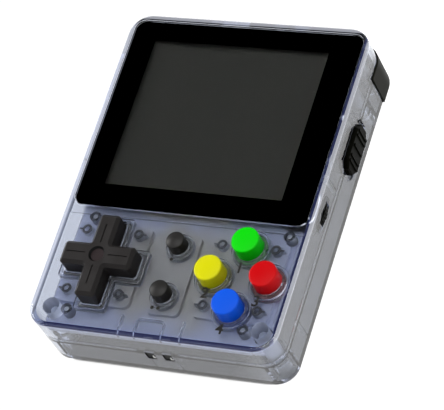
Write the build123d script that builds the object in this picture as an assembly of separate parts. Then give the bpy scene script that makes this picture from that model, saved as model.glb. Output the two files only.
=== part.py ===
from build123d import *
import os
from math import radians, sin

# A handheld game console lying on its back, in millimetres. X points to the player's right,
# Y to the top edge above the screen, Z out of the face. The origin is the centre of the back.

# Case: outer size, walls and the plane where the two shells meet
case_width = 70.0
case_height = 95.5
case_depth = 19.5
case_corner_radius = 6.0
face_edge_radius = 0.8
back_edge_radius = 1.2
wall = 1.5
face_thickness = 1.6
back_thickness = 1.8
rear_shell_depth = 9.8
lip_height = 1.0
lip_thickness = 0.6

# Clearances, and how far a cut runs past its piece
overrun = 1.0
seat_gap = 0.05
fit_gap = 0.1
guide_gap = 0.25
post_gap = 0.3
shaft_gap = 0.05

# Screen lens, its tape and the ledge of the face that carries it
lens_rim = 1.6
lens_top_rim = 1.85
lens_height_share = 0.6052
lens_thickness = 0.9
lens_corner_radius = 2.8
tape_thickness = 0.15
tape_width = 2.0
ledge_thickness = 0.85
ledge_lap = 2.2

# Display stack behind the ledge, and its ribbon
picture_side_margin = 9.45
picture_top_margin = 7.45
picture_bottom_margin = 7.0
picture_shift = -1.05
picture_margin = 0.6
lcd_side_border = 1.75
lcd_top_border = 2.2
lcd_bottom_border = 3.0
lcd_thickness = 0.9
gasket_thickness = 0.25
gasket_width = 1.0
backlight_thickness = 0.9
backlight_rim = 0.6
backlight_recess = 0.3
foam_strip_width = 4.0
foam_strip_margin = 6.0
ribbon_width = 22.0
ribbon_thickness = 0.2
connector_width = 24.0
connector_depth = 2.6
connector_height = 0.9
connector_distance = 1.4

# Main board
board_drop = 4.5
board_thickness = 1.2
board_side_gap = 2.3
board_bottom_gap = 0.85
board_top_gap = 1.05
board_corner_radius = 1.5

# Direction pad
dpad_inset_share = 0.2229
dpad_drop_share = 0.1613
dpad_width_share = 0.292
dpad_height_share = 0.2482
dpad_upright_width = 5.8
dpad_crossbar_width = 6.5
dpad_shift_x = 0.7
dpad_shift_y = -0.75
dpad_rise = 4.4
dpad_bevel = 0.9
dpad_arm_corner_radius = 1.0
dpad_inner_corner_radius = 0.5
dpad_flange_margin = 0.9
dpad_flange_thickness = 0.6
dpad_tilt_degrees = 3.0
dpad_window_gap = 0.4
dpad_dimple_radius = 2.25
dpad_dimple_floor_share = 0.8
dpad_dimple_depth = 0.6
dpad_groove_width = 0.4
dpad_groove_depth = 0.3
dpad_groove_length = 5.4
dpad_groove_start = 3.3
pivot_radius = 0.95

# Round buttons: the four coloured ones and the two small black ones
action_inset_share = 0.22
action_drop_share = 0.1644
action_spread_x_share = 0.1086
action_spread_y_share = 0.0927
action_radius = 3.7
action_shift_x = 0.7
action_shift_y = -0.6
action_rise = 4.3
action_dome = 0.25
action_edge_radius = 0.45
action_flange_radius = 4.5
menu_shift = 0.8
menu_drop_share = 0.0954
menu_spacing_share = 0.1476
menu_radius = 2.5
menu_rise = 3.5
menu_dome = 0.55
menu_edge_radius = 0.4
menu_flange_radius = 3.0
flange_thickness = 0.8
button_notch_width = 1.0
button_notch_depth = 0.4

# Collars, pegs and thin ribs moulded inside the face
collar_thickness = 0.6
collar_depth = 1.2
peg_spread_x = 7.5
peg_spread_y_share = 0.0916
peg_radius = 1.35
peg_bore_radius = 0.6
peg_tail_length = 0.9
peg_tail_width = 0.35
peg_reach_gap = 0.05
rib_thickness = 0.4
rib_depth = 1.2
arch_width = 8.0
arch_height = 4.2
arch_corner_radius = 1.3
arch_shift = -0.4
arch_rib_distance = 8.7
arch_rib_length = 4.6
side_rib_share = 0.0387
side_rib_width = 1.2
side_rib_reach = 7.2

# Rubber membranes under the buttons
membrane_thickness = 1.2
membrane_web = 0.3
membrane_border = 1.6
dome_gap = 0.05
dome_foot_radius = 3.2
dome_head_radius = 2.2
small_dome_foot_radius = 2.0
small_dome_head_radius = 1.4

# Screws of the case and of the board
case_screw_side_inset = 5.5
case_screw_bottom_inset = 6.25
upper_screw_side_inset = 4.3
upper_screw_inset_share = 0.1707
post_radius = 2.3
rear_boss_radius = 3.2
boss_meeting_drop = 0.8
case_screw_radius = 1.0
case_screw_head_radius = 1.9
case_screw_head_height = 1.5
case_screw_length = 8.0
case_screw_seat = 5.0
screw_recess_width = 0.5
screw_recess_depth = 0.6
screw_hole_gap = 0.2
counterbore_gap = 0.3
gusset_thickness = 0.9
board_boss_radius = 1.5
top_boss_radius = 1.2
board_screw_radius = 0.6
board_screw_head_radius = 1.3
board_screw_head_height = 0.8
board_screw_reach = 2.2
lower_boss_side_inset = 10.1
lower_boss_bottom_inset = 5.9
left_boss_inset_share = 0.13
right_boss_side_inset = 5.5
side_boss_below_lens = 2.7
top_boss_share = 0.18
top_boss_top_inset = 3.85

# Shoulder buttons at the top corners, their pins and their switches
shoulder_thickness = 1.45
shoulder_width_share = 0.28
shoulder_side_length = 10.3
shoulder_bottom = 0.4
shoulder_top = 11.8
shoulder_edge_radius = 0.4
shoulder_gap = 0.2
shoulder_proud = 0.4
shoulder_turn_degrees = 2.5
hinge_side_inset = 4.4
hinge_top_inset = 7.6
hinge_pin_radius = 0.75
hinge_pin_sink = 1.2
hinge_ear_radius = 1.9
hinge_ear_gap = 0.2
hinge_boss_height = 1.0
hinge_post_radius = 1.7
hinge_post_bottom = 9.6
pusher_share = 0.2571
pusher_width = 2.4
pusher_height = 2.6
pusher_length = 2.6
tact_width = 6.0
tact_depth = 3.4
tact_height = 4.2
tact_rise = 0.9
tact_plunger_radius = 0.95
tact_plunger_seat = 0.8
tact_play = 0.05
tact_bore_gap = 0.15
tact_travel_margin = 0.3

# Power switch in the right side
switch_share = 0.1822
switch_z = 8.85
switch_travel = 1.1
knob_length = 13.6
knob_width = 7.9
knob_corner = 2.3
knob_proud = 0.95
knob_rib_height = 0.35
knob_rib_width = 0.55
knob_rib_pitch = 1.5
knob_bevel = 0.35
knob_recess_depth = 0.7
knob_recess_margin = 0.4
knob_neck_length = 5.2
knob_neck_width = 3.0
knob_flange_length = 9.2
knob_flange_width = 4.8
knob_flange_thickness = 1.1
lever_length = 2.0
lever_width = 1.8
lever_height = 1.6
switch_body_length = 12.0
switch_body_depth = 4.4
switch_body_below = 2.3

# Volume wheel in the right side
wheel_share = 0.0545
wheel_radius = 6.45
wheel_proud = 0.45
wheel_thickness = 2.0
wheel_z = 13.3
wheel_knurls = 36
wheel_knurl_radius = 0.22
wheel_bore_radius = 1.45
wheel_gap = 0.3
pot_base_thickness = 1.2
pot_base_width = 7.6
pot_lap = 2.4
pot_stem_margin = 0.2

# Sockets in the top edge and in the left side
usb_share = 0.0857
usb_width = 7.6
usb_height = 2.7
usb_depth = 5.3
usb_shell = 0.3
usb_sink = 0.6
usb_opening_margin = 0.45
usb_tongue_width = 4.8
usb_tongue_height = 0.6
usb_tongue_sink = 1.2
usb_block_depth = 1.0
jack_share = 0.1
jack_width = 6.2
jack_height = 5.0
jack_nose_radius = 2.4
jack_bore_radius = 1.8
jack_bore_length = 12.5
jack_back_wall = 0.6
jack_sink = 0.15
card_share = 0.178
card_socket_width = 13.4
card_socket_depth = 14.2
card_socket_height = 1.8
card_slot_width = 11.6
card_slot_height = 1.0
card_socket_wall = 0.4

# Two contact blocks trapped in the bottom wall
contact_spacing = 4.95
contact_shift = 0.1
contact_width = 2.5
contact_height = 3.2
contact_depth = 2.05
contact_drop = 0.9
contact_sink = 0.25
contact_rib_spacing = 7.7
contact_rib_shift = 0.4
contact_rib_length = 5.2
tongue_strip = 0.3
tongue_thickness = 0.15
tongue_height = 1.1
tongue_arm = 0.75
tongue_inset = 1.65
tongue_rise = 0.4

# Battery, its bay, cover, terminal block and springs
battery_width = 34.0
battery_thickness = 5.7
battery_corner_radius = 1.5
battery_top_inset = 13.95
battery_bottom_inset = 28.55
battery_gap = 0.4
battery_lift = 0.1
bay_wall = 0.8
bay_terminal_space = 2.7
cover_thickness = 1.2
cover_margin = 1.7
cover_corner_radius = 1.6
cover_gap = 0.15
cover_tab_width = 10.0
cover_tab_length = 2.0
cover_grip_width = 0.5
cover_grip_depth = 0.35
cover_grip_length = 9.0
cover_grip_pitch = 1.5
cover_grips = 5
cover_grip_inset = 2.5
thumb_scoop_radius = 5.0
thumb_scoop_depth = 0.7
terminal_x = -9.0
terminal_width = 11.0
terminal_depth = 1.7
terminal_sink = 1.1
terminal_gap = 0.2
spring_pitch = 3.5
spring_width = 1.4
spring_strip = 0.2
spring_height = 3.2

# Speaker, its foam ring and its grille
speaker_share = 0.2
speaker_bottom_inset = 14.6
speaker_radius = 10.0
speaker_rim_height = 1.4
speaker_magnet_radius = 6.0
speaker_magnet_height = 2.2
speaker_foam_width = 1.6
speaker_foam_thickness = 0.5
speaker_fence_thickness = 0.8
speaker_fence_height = 3.0
grille_hole_radius = 0.7
grille_pitch = 2.4
grille_rings = 3

# Chips and small parts on the underside of the board
processor_size = 10.0
processor_thickness = 1.2
processor_x = -2.0
processor_y = 8.0
memory_width = 8.0
memory_length = 13.0
memory_thickness = 1.0
memory_x = 13.0
crystal_width = 3.2
crystal_length = 8.0
crystal_height = 1.5
crystal_share = 0.1929
capacitor_radius = 2.0
capacitor_height = 3.6
capacitor_x = -13.0
capacitor_bottom_inset = 11.75
small_part_length = 1.6
small_part_width = 0.8
small_part_height = 0.7
small_part_pitch = 3.0
small_part_count = 6

# Places worked out from the sizes above
half_width = case_width / 2
half_height = case_height / 2
inner_x = half_width - wall
inner_y = half_height - wall
face_inner_z = case_depth - face_thickness
parting_z = rear_shell_depth
lens_width = case_width - 2 * lens_rim
lens_height = case_height * lens_height_share
lens_top_y = half_height - lens_top_rim
lens_bottom_y = lens_top_y - lens_height
lens_centre_y = (lens_top_y + lens_bottom_y) / 2
lens_top_z = case_depth - seat_gap
ledge_top_z = lens_top_z - lens_thickness - tape_thickness
ledge_bottom_z = ledge_top_z - ledge_thickness
picture_top_y = half_height - picture_top_margin
picture_bottom_y = lens_bottom_y + picture_bottom_margin
picture_height = picture_top_y - picture_bottom_y
picture_width = case_width - 2 * picture_side_margin
picture_centre_y = (picture_top_y + picture_bottom_y) / 2
lcd_left_x = picture_shift - picture_width / 2 - lcd_side_border
lcd_right_x = picture_shift + picture_width / 2 + lcd_side_border
lcd_top_y = picture_top_y + lcd_top_border
lcd_bottom_y = picture_bottom_y - lcd_bottom_border
lcd_top_z = ledge_bottom_z - gasket_thickness
lcd_bottom_z = lcd_top_z - lcd_thickness
backlight_bottom_z = lcd_bottom_z - backlight_thickness
board_top_z = case_depth - board_drop
board_bottom_z = board_top_z - board_thickness
board_side_x = inner_x - board_side_gap
board_low_y = -inner_y + board_bottom_gap
board_high_y = inner_y - board_top_gap
dpad_sheet_x = case_width * dpad_inset_share - half_width
dpad_sheet_y = lens_bottom_y - case_height * dpad_drop_share
dpad_x = dpad_sheet_x + dpad_shift_x
dpad_y = dpad_sheet_y + dpad_shift_y
dpad_half_width = half_width * dpad_width_share
dpad_half_height = half_height * dpad_height_share
dpad_sweep = max(
    dpad_half_height + dpad_upright_width / 2,
    dpad_half_width + dpad_crossbar_width / 2,
) + 2 * dpad_flange_margin
dpad_flange_top_z = face_inner_z - dpad_sweep * sin(radians(dpad_tilt_degrees)) - seat_gap
dpad_flange_bottom_z = dpad_flange_top_z - dpad_flange_thickness
pivot_z = board_top_z + shaft_gap + pivot_radius
action_sheet_x = half_width - case_width * action_inset_share
action_sheet_y = lens_bottom_y - case_height * action_drop_share
action_x = action_sheet_x + action_shift_x
action_y = action_sheet_y + action_shift_y
action_spread_x = case_width * action_spread_x_share
action_spread_y = case_height * action_spread_y_share
action_places = {
    "upper_button": (action_x, action_y + action_spread_y),
    "lower_button": (action_x, action_y - action_spread_y),
    "left_button": (action_x - action_spread_x, action_y),
    "right_button": (action_x + action_spread_x, action_y),
}
menu_y = lens_bottom_y - case_height * menu_drop_share
menu_spacing = case_height * menu_spacing_share
menu_places = {
    "menu_button_1": (menu_shift, menu_y),
    "menu_button_2": (menu_shift, menu_y - menu_spacing),
}
peg_spread_y = case_height * peg_spread_y_share
side_rib_y = case_height * side_rib_share
flange_top_z = face_inner_z - seat_gap
flange_bottom_z = flange_top_z - flange_thickness
membrane_top_z = board_top_z + membrane_thickness
web_top_z = board_top_z + membrane_web
boss_meeting_z = parting_z - boss_meeting_drop
lower_screw_x = half_width - case_screw_side_inset
lower_screw_y = case_screw_bottom_inset - half_height
upper_screw_x = half_width - upper_screw_side_inset
upper_screw_y = half_height - case_height * upper_screw_inset_share
case_screw_places = [
    (side * x, y)
    for side in (-1, 1)
    for x, y in ((lower_screw_x, lower_screw_y), (upper_screw_x, upper_screw_y))
]
left_boss_x = case_width * left_boss_inset_share - half_width
contact_low_z = parting_z - contact_drop - contact_height / 2
top_boss_x = case_width * top_boss_share
board_boss_places = [
    (lower_boss_side_inset - half_width, lower_boss_bottom_inset - half_height, board_boss_radius),
    (half_width - lower_boss_side_inset, lower_boss_bottom_inset - half_height, board_boss_radius),
    (left_boss_x, lens_bottom_y - side_boss_below_lens, board_boss_radius),
    (half_width - right_boss_side_inset, lens_bottom_y - side_boss_below_lens, board_boss_radius),
    (-top_boss_x, half_height - top_boss_top_inset, top_boss_radius),
    (top_boss_x, half_height - top_boss_top_inset, top_boss_radius),
]
hinge_x = half_width - hinge_side_inset
hinge_y = half_height - hinge_top_inset
shoulder_end_x = half_width - case_width * shoulder_width_share
pusher_x = case_width * pusher_share
shoulder_low_y = half_height - shoulder_side_length
shoulder_inner_y = half_height - shoulder_thickness
hinge_boss_top_z = back_thickness + hinge_boss_height
hinge_pin_low_z = hinge_boss_top_z - hinge_boss_height / 2
hinge_pin_high_z = hinge_post_bottom + hinge_pin_sink
plunger_travel = (hinge_x - pusher_x) * sin(radians(shoulder_turn_degrees))
plunger_tip_y = shoulder_inner_y - pusher_length - tact_play
tact_front_y = plunger_tip_y - plunger_travel - tact_travel_margin
plunger_z = board_bottom_z - tact_height + tact_rise + tact_plunger_radius
switch_y = case_height * switch_share
switch_wall_x = half_width - knob_recess_depth
wheel_x = half_width + wheel_proud - wheel_radius
wheel_y = -case_height * wheel_share
wheel_top_z = wheel_z + wheel_thickness
usb_x = -case_width * usb_share
usb_high_y = half_height - usb_sink
usb_low_z = board_bottom_z - usb_height
usb_centre_z = (board_bottom_z + usb_low_z) / 2
jack_x = case_width * jack_share
jack_z = board_bottom_z - jack_height / 2
jack_mouth_y = half_height - jack_sink
card_y = case_height * card_share
card_z = board_bottom_z - card_socket_height / 2
battery_high_y = half_height - battery_top_inset
battery_low_y = battery_bottom_inset - half_height
battery_length = battery_high_y - battery_low_y
battery_bottom_z = cover_thickness + battery_lift
battery_top_z = battery_bottom_z + battery_thickness
bay_half_x = battery_width / 2 + battery_gap
bay_low_y = battery_low_y - battery_gap
bay_high_y = battery_high_y + bay_terminal_space
bay_ceiling_z = battery_top_z + battery_gap / 2
bay_roof_z = bay_ceiling_z + bay_wall
terminal_high_y = bay_high_y - fit_gap
terminal_low_y = terminal_high_y - terminal_depth
terminal_low_z = battery_bottom_z + terminal_sink
speaker_y = speaker_bottom_inset - half_height
speaker_x = case_width * speaker_share
speaker_low_z = back_thickness + speaker_foam_thickness
crystal_x = -case_width * crystal_share
capacitor_y = capacitor_bottom_inset - half_height


def block(low_x, high_x, low_y, high_y, low_z, high_z):
    """A box between two corners."""
    size = Box(high_x - low_x, high_y - low_y, high_z - low_z)
    return Pos((low_x + high_x) / 2, (low_y + high_y) / 2, (low_z + high_z) / 2) * size


def prism(sketch, low_z, high_z):
    """A sketch pulled up from one height to another."""
    return Pos(0, 0, low_z) * extrude(sketch, high_z - low_z)


def disc(x, y, radius, low_z, high_z):
    """An upright cylinder."""
    return Pos(x, y, low_z) * extrude(Circle(radius), high_z - low_z)


def cone(x, y, low_radius, high_radius, low_z, high_z):
    """An upright cone frustum."""
    return Pos(x, y, (low_z + high_z) / 2) * Cone(low_radius, high_radius, high_z - low_z)


def rod_along_y(x, z, radius, low_y, high_y):
    """A cylinder lying along Y."""
    return Pos(x, (low_y + high_y) / 2, z) * Rot(90, 0, 0) * Cylinder(radius, high_y - low_y)


def side_profile(points, low_x, high_x):
    """A closed outline of (y, z) points, pulled along X."""
    outline = Plane.YZ * make_face(Polyline(*points, close=True))
    return Pos(low_x, 0, 0) * extrude(outline, high_x - low_x)


def mirrored(shape, side):
    """The shape as built for the right side, or its mirror image for the left."""
    return shape if side > 0 else mirror(shape, about=Plane.YZ)


def case_outline(inset):
    """Outline of the case, moved inwards by a distance."""
    return RectangleRounded(
        case_width - 2 * inset, case_height - 2 * inset, case_corner_radius - inset
    )


def case_body():
    """The whole case as one block with its rounded edges."""
    body = prism(case_outline(0), 0, case_depth)
    body = fillet(body.faces().sort_by(Axis.Z)[-1].edges(), face_edge_radius)
    return fillet(body.faces().sort_by(Axis.Z)[0].edges(), back_edge_radius)


def cross_sketch(margin):
    """Plan of the direction pad, grown by a margin."""
    upright = Rectangle(dpad_upright_width + 2 * margin, 2 * (dpad_half_height + margin))
    crossbar = Rectangle(2 * (dpad_half_width + margin), dpad_crossbar_width + 2 * margin)
    return Pos(dpad_x, dpad_y) * (upright + crossbar)


def rounded_cross(margin, low_z, high_z):
    """Direction pad plan with rounded corners, as a solid."""
    solid = prism(cross_sketch(margin), low_z, high_z)
    corners = solid.edges().filter_by(Axis.Z)
    reach = dpad_crossbar_width / 2 + margin + overrun / 2
    inner = [
        e
        for e in corners
        if abs(e.center().X - dpad_x) < reach and abs(e.center().Y - dpad_y) < reach
    ]
    outer = [e for e in corners if e not in inner]
    solid = fillet(outer, dpad_arm_corner_radius)
    corners = solid.edges().filter_by(Axis.Z)
    inner = [
        e
        for e in corners
        if abs(e.center().X - dpad_x) < reach and abs(e.center().Y - dpad_y) < reach
    ]
    return fillet(inner, dpad_inner_corner_radius)


def knob_outline(margin, low_x, high_x):
    """Long octagon of the power knob, grown by a margin."""
    half_length = knob_length / 2 + margin
    half_breadth = knob_width / 2 + margin
    flat_length = half_length - knob_corner
    flat_breadth = half_breadth - knob_corner
    corners = [
        (flat_length, half_breadth),
        (half_length, flat_breadth),
        (half_length, -flat_breadth),
        (flat_length, -half_breadth),
        (-flat_length, -half_breadth),
        (-half_length, -flat_breadth),
        (-half_length, flat_breadth),
        (-flat_length, half_breadth),
    ]
    return side_profile([(switch_y + y, switch_z + z) for y, z in corners], low_x, high_x)


def shoulder_band(inset, gap, low_z, high_z):
    """Strip of the right top corner, from a little outside the outline to an inset."""
    reach = shoulder_proud + gap
    strip = prism(case_outline(-reach), low_z, high_z)
    strip -= prism(case_outline(inset), low_z - overrun, high_z + overrun)
    corner = block(
        shoulder_end_x - gap,
        half_width + reach,
        shoulder_low_y - gap,
        half_height + reach,
        low_z,
        high_z,
    )
    return strip & corner


def shoulder_pockets():
    """Openings in both top corners, wide enough for the pressed shoulder buttons."""
    pocket = shoulder_band(
        shoulder_thickness + shoulder_gap, shoulder_gap, -overrun, shoulder_top + shoulder_gap
    )
    hinge_axis = Axis((hinge_x, hinge_y, 0), (0, 0, 1))
    pocket += pocket.rotate(hinge_axis, shoulder_turn_degrees)
    return [mirrored(pocket, side) for side in (1, -1)]


def wall_openings():
    """Cuts that both shells share: pockets, knob recess, sockets and contact blocks."""
    cuts = shoulder_pockets()
    travel = switch_travel + guide_gap
    for shift in (-switch_travel, switch_travel):
        recess = knob_outline(knob_recess_margin, switch_wall_x, half_width + overrun)
        cuts.append(Pos(0, shift, 0) * recess)
    cuts.append(
        block(
            inner_x - overrun,
            half_width,
            switch_y - knob_neck_length / 2 - travel,
            switch_y + knob_neck_length / 2 + travel,
            switch_z - knob_neck_width / 2 - guide_gap,
            switch_z + knob_neck_width / 2 + guide_gap,
        )
    )
    cuts.append(
        block(
            usb_x - usb_width / 2 - usb_opening_margin,
            usb_x + usb_width / 2 + usb_opening_margin,
            inner_y - overrun,
            half_height + overrun,
            usb_low_z - usb_opening_margin,
            board_bottom_z + usb_opening_margin,
        )
    )
    jack_hole = jack_nose_radius + fit_gap
    cuts.append(rod_along_y(jack_x, jack_z, jack_hole, inner_y - overrun, half_height + overrun))
    for x in contact_places():
        cuts.append(
            block(
                x - contact_width / 2 - seat_gap,
                x + contact_width / 2 + seat_gap,
                -half_height - overrun,
                -inner_y + overrun,
                contact_low_z - seat_gap,
                contact_low_z + contact_height + seat_gap,
            )
        )
    return cuts


def contact_places():
    """X of the two contact blocks."""
    return [contact_shift + side * contact_spacing / 2 for side in (-1, 1)]


def lip_breaks(gap):
    """Stretches of the wall where the shells meet without a lip."""
    low_z = parting_z - overrun
    high_z = parting_z + lip_height + overrun
    knob_reach = knob_length / 2 + knob_recess_margin + switch_travel + overrun - gap
    socket_low_x = usb_x - usb_width / 2 - usb_opening_margin - overrun + gap
    socket_high_x = jack_x + jack_nose_radius + overrun - gap
    contact_reach = contact_spacing / 2 + contact_width + overrun - gap
    breaks = [
        block(
            inner_x - overrun,
            half_width,
            switch_y - knob_reach,
            switch_y + knob_reach,
            low_z,
            high_z,
        ),
        block(socket_low_x, socket_high_x, inner_y - overrun, half_height, low_z, high_z),
        block(
            contact_shift - contact_reach,
            contact_shift + contact_reach,
            -half_height,
            -inner_y + overrun,
            low_z,
            high_z,
        ),
    ]
    for side in (-1, 1):
        corner = block(
            shoulder_end_x - shoulder_gap - overrun + gap,
            half_width,
            shoulder_low_y - shoulder_gap - overrun + gap,
            half_height,
            low_z,
            high_z,
        )
        breaks.append(mirrored(corner, side))
    return breaks


def front_shell():
    """Clear front half: face, side walls, windows, collars, pegs, bosses and posts."""
    shell = case_body() & prism(case_outline(-overrun), parting_z, case_depth + overrun)
    shell -= prism(case_outline(wall), parting_z - overrun, face_inner_z)
    ledge = block(
        -inner_x, inner_x, lens_bottom_y - ledge_lap, inner_y, ledge_bottom_z, ledge_top_z
    )
    shell += ledge & prism(case_outline(wall), ledge_bottom_z, ledge_top_z)
    recess = RectangleRounded(
        lens_width + 2 * fit_gap, lens_height + 2 * fit_gap, lens_corner_radius + fit_gap
    )
    shell -= prism(Pos(0, lens_centre_y) * recess, ledge_top_z, case_depth + overrun)
    window = Rectangle(picture_width + 2 * picture_margin, picture_height + 2 * picture_margin)
    window = Pos(picture_shift, picture_centre_y) * window
    shell -= prism(window, ledge_bottom_z - overrun, case_depth)
    groove = prism(case_outline(wall - lip_thickness - fit_gap), parting_z - overrun,
                   parting_z + lip_height + fit_gap)
    groove -= prism(case_outline(wall + overrun), parting_z - overrun, case_depth)
    for stretch in lip_breaks(fit_gap):
        groove -= stretch
    shell -= groove
    shell += face_collars()
    shell += face_pegs()
    shell += face_ribs()
    shell += front_posts()
    for cut in face_windows() + wall_openings() + [wheel_slot(), card_slot()]:
        shell -= cut
    for x, y in case_screw_places:
        depth = case_screw_seat + case_screw_length + guide_gap
        shell -= disc(x, y, case_screw_radius + shaft_gap, boss_meeting_z - overrun, depth)
    for x, y, _ in board_boss_places:
        reach = board_top_z + board_screw_reach + guide_gap
        shell -= disc(x, y, board_screw_radius + shaft_gap, board_top_z - overrun, reach)
    for side in (-1, 1):
        shell -= disc(
            side * hinge_x,
            hinge_y,
            hinge_pin_radius + shaft_gap,
            hinge_post_bottom - overrun,
            hinge_pin_high_z + guide_gap,
        )
    return shell


def face_windows():
    """Holes in the face for the direction pad and the round buttons."""
    low_z = face_inner_z - collar_depth - overrun
    high_z = case_depth + overrun
    cuts = [rounded_cross(dpad_window_gap, face_inner_z - overrun, high_z)]
    cuts.append(rounded_cross(dpad_flange_margin + guide_gap, low_z, face_inner_z))
    groups = (
        (action_places, action_radius, action_flange_radius),
        (menu_places, menu_radius, menu_flange_radius),
    )
    for places, radius, flange_radius in groups:
        for x, y in places.values():
            cuts.append(disc(x, y, radius + guide_gap, face_inner_z - overrun, high_z))
            cuts.append(disc(x, y, flange_radius + guide_gap, low_z, face_inner_z))
    return cuts


def face_collars():
    """Short collars around the windows, on the inside of the face."""
    low_z = face_inner_z - collar_depth
    outer = dpad_flange_margin + guide_gap + collar_thickness
    collars = rounded_cross(outer, low_z, face_inner_z)
    for places, radius in ((action_places, action_flange_radius), (menu_places, menu_flange_radius)):
        for x, y in places.values():
            collars += disc(x, y, radius + guide_gap + collar_thickness, low_z, face_inner_z)
    return collars


def face_pegs():
    """Hollow pegs with a small tail that hold the membranes down."""
    pegs = []
    low_z = membrane_top_z + peg_reach_gap
    for centre_x, centre_y in ((dpad_sheet_x, dpad_sheet_y), (action_sheet_x, action_sheet_y)):
        for side in (-1, 1):
            for end in (-1, 1):
                x = centre_x + side * peg_spread_x
                y = centre_y + end * peg_spread_y
                tail_x = x + side * (peg_radius + peg_tail_length)
                peg = disc(x, y, peg_radius, low_z, face_inner_z)
                peg += block(
                    min(x, tail_x),
                    max(x, tail_x),
                    y - peg_tail_width / 2,
                    y + peg_tail_width / 2,
                    low_z,
                    face_inner_z,
                )
                pegs.append(peg - disc(x, y, peg_bore_radius, low_z - overrun, face_inner_z))
    return pegs


def face_ribs():
    """Thin ribs inside the face and the right wall."""
    low_z = face_inner_z - rib_depth
    arch_top_y = -inner_y + arch_height
    arch = RectangleRounded(arch_width, 2 * arch_height, arch_corner_radius)
    hollow = RectangleRounded(
        arch_width - 2 * rib_thickness,
        2 * (arch_height - rib_thickness),
        arch_corner_radius - rib_thickness,
    )
    ring = prism(Pos(arch_shift, arch_top_y - arch_height) * (arch - hollow), low_z, face_inner_z)
    ribs = [ring & block(-inner_x, inner_x, -inner_y, arch_top_y, low_z, face_inner_z)]
    for side in (-1, 1):
        x = side * arch_rib_distance
        ribs.append(
            block(
                x - rib_thickness / 2,
                x + rib_thickness / 2,
                -inner_y,
                -inner_y + arch_rib_length,
                low_z,
                face_inner_z,
            )
        )
        rib = block(
            inner_x - side_rib_width,
            inner_x,
            side_rib_y - rib_thickness,
            side_rib_y + rib_thickness,
            ledge_bottom_z - side_rib_reach,
            ledge_bottom_z,
        )
        ribs.append(mirrored(rib, side))
    return ribs


def front_posts():
    """Posts for the case screws and the hinge pins, and bosses for the board screws."""
    posts = [disc(x, y, post_radius, boss_meeting_z, face_inner_z) for x, y in case_screw_places]
    for side in (-1, 1):
        x = side * hinge_x
        posts.append(disc(x, hinge_y, hinge_post_radius, hinge_post_bottom, face_inner_z))
    for x, y, radius in board_boss_places:
        posts.append(disc(x, y, radius, board_top_z, face_inner_z))
    inside = prism(case_outline(wall), 0, case_depth)
    return [post & inside for post in posts]


def wheel_slot():
    """Slot in the right wall for the volume wheel."""
    reach = wheel_radius + wheel_gap
    return disc(wheel_x, wheel_y, reach, wheel_z - wheel_gap, wheel_top_z + wheel_gap)


def card_slot():
    """Slot in the left wall for a memory card."""
    return block(
        -half_width - overrun,
        -inner_x + overrun,
        card_y - card_slot_width / 2,
        card_y + card_slot_width / 2,
        card_z - card_slot_height / 2,
        card_z + card_slot_height / 2,
    )


def rear_shell():
    """Clear rear half: back, walls, lip, screw bosses, battery bay, speaker fence and grille."""
    shell = case_body() & prism(case_outline(-overrun), -overrun, parting_z)
    shell -= prism(case_outline(wall), back_thickness, parting_z + overrun)
    lip = prism(case_outline(wall - lip_thickness), parting_z, parting_z + lip_height)
    lip -= prism(case_outline(wall), parting_z - overrun, case_depth)
    for stretch in lip_breaks(0):
        lip -= stretch
    shell += lip
    shell += rear_bosses()
    shell += battery_bay()
    fence_radius = speaker_radius + fit_gap
    fence = disc(speaker_x, speaker_y, fence_radius + speaker_fence_thickness, back_thickness,
                 back_thickness + speaker_fence_height)
    fence -= disc(speaker_x, speaker_y, fence_radius, 0, case_depth)
    shell += fence
    shell += rear_ribs()
    for cut in wall_openings() + grille_holes() + bay_cuts():
        shell -= cut
    boss_top_z = boss_meeting_z - seat_gap
    for x, y in case_screw_places:
        head_room = case_screw_head_radius + counterbore_gap
        shell -= disc(x, y, head_room, -overrun, case_screw_seat)
        shell -= disc(x, y, case_screw_radius + screw_hole_gap, 0, boss_top_z + overrun)
    for side in (-1, 1):
        shell -= disc(
            side * hinge_x,
            hinge_y,
            hinge_pin_radius + shaft_gap,
            hinge_pin_low_z,
            hinge_boss_top_z + overrun,
        )
    return shell


def rear_bosses():
    """Screw bosses with their gussets, and the seats of the hinge pins."""
    bosses = []
    inside = prism(case_outline(wall), 0, case_depth)
    top_z = boss_meeting_z - seat_gap
    for x, y in case_screw_places:
        side = 1 if x > 0 else -1
        boss = disc(x, y, rear_boss_radius, back_thickness, top_z)
        half = gusset_thickness / 2
        boss += block(min(x, side * inner_x), max(x, side * inner_x), y - half, y + half,
                      back_thickness, top_z)
        if y < 0:
            boss += block(x - half, x + half, -inner_y, y, back_thickness, top_z)
        bosses.append(boss & inside)
    for side in (-1, 1):
        x = side * hinge_x
        bosses.append(disc(x, hinge_y, hinge_post_radius, back_thickness, hinge_boss_top_z))
    return bosses


def rear_ribs():
    """Thin upright ribs on the side and bottom walls."""
    top_z = parting_z - overrun
    ribs = []
    for side in (-1, 1):
        rib = block(
            inner_x - side_rib_width,
            inner_x,
            lower_screw_y + case_screw_length,
            lower_screw_y + case_screw_length + rib_thickness,
            back_thickness,
            top_z,
        )
        ribs.append(mirrored(rib, side))
        x = contact_rib_shift + side * contact_rib_spacing / 2
        ribs.append(
            block(
                x - rib_thickness / 2,
                x + rib_thickness / 2,
                -inner_y,
                -inner_y + side_rib_width,
                back_thickness,
                back_thickness + contact_rib_length,
            )
        )
    return ribs


def battery_bay():
    """Walls and roof of the battery bay."""
    return block(
        -bay_half_x - bay_wall,
        bay_half_x + bay_wall,
        bay_low_y - bay_wall,
        bay_high_y + bay_wall,
        cover_thickness + seat_gap,
        bay_roof_z,
    )


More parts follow.
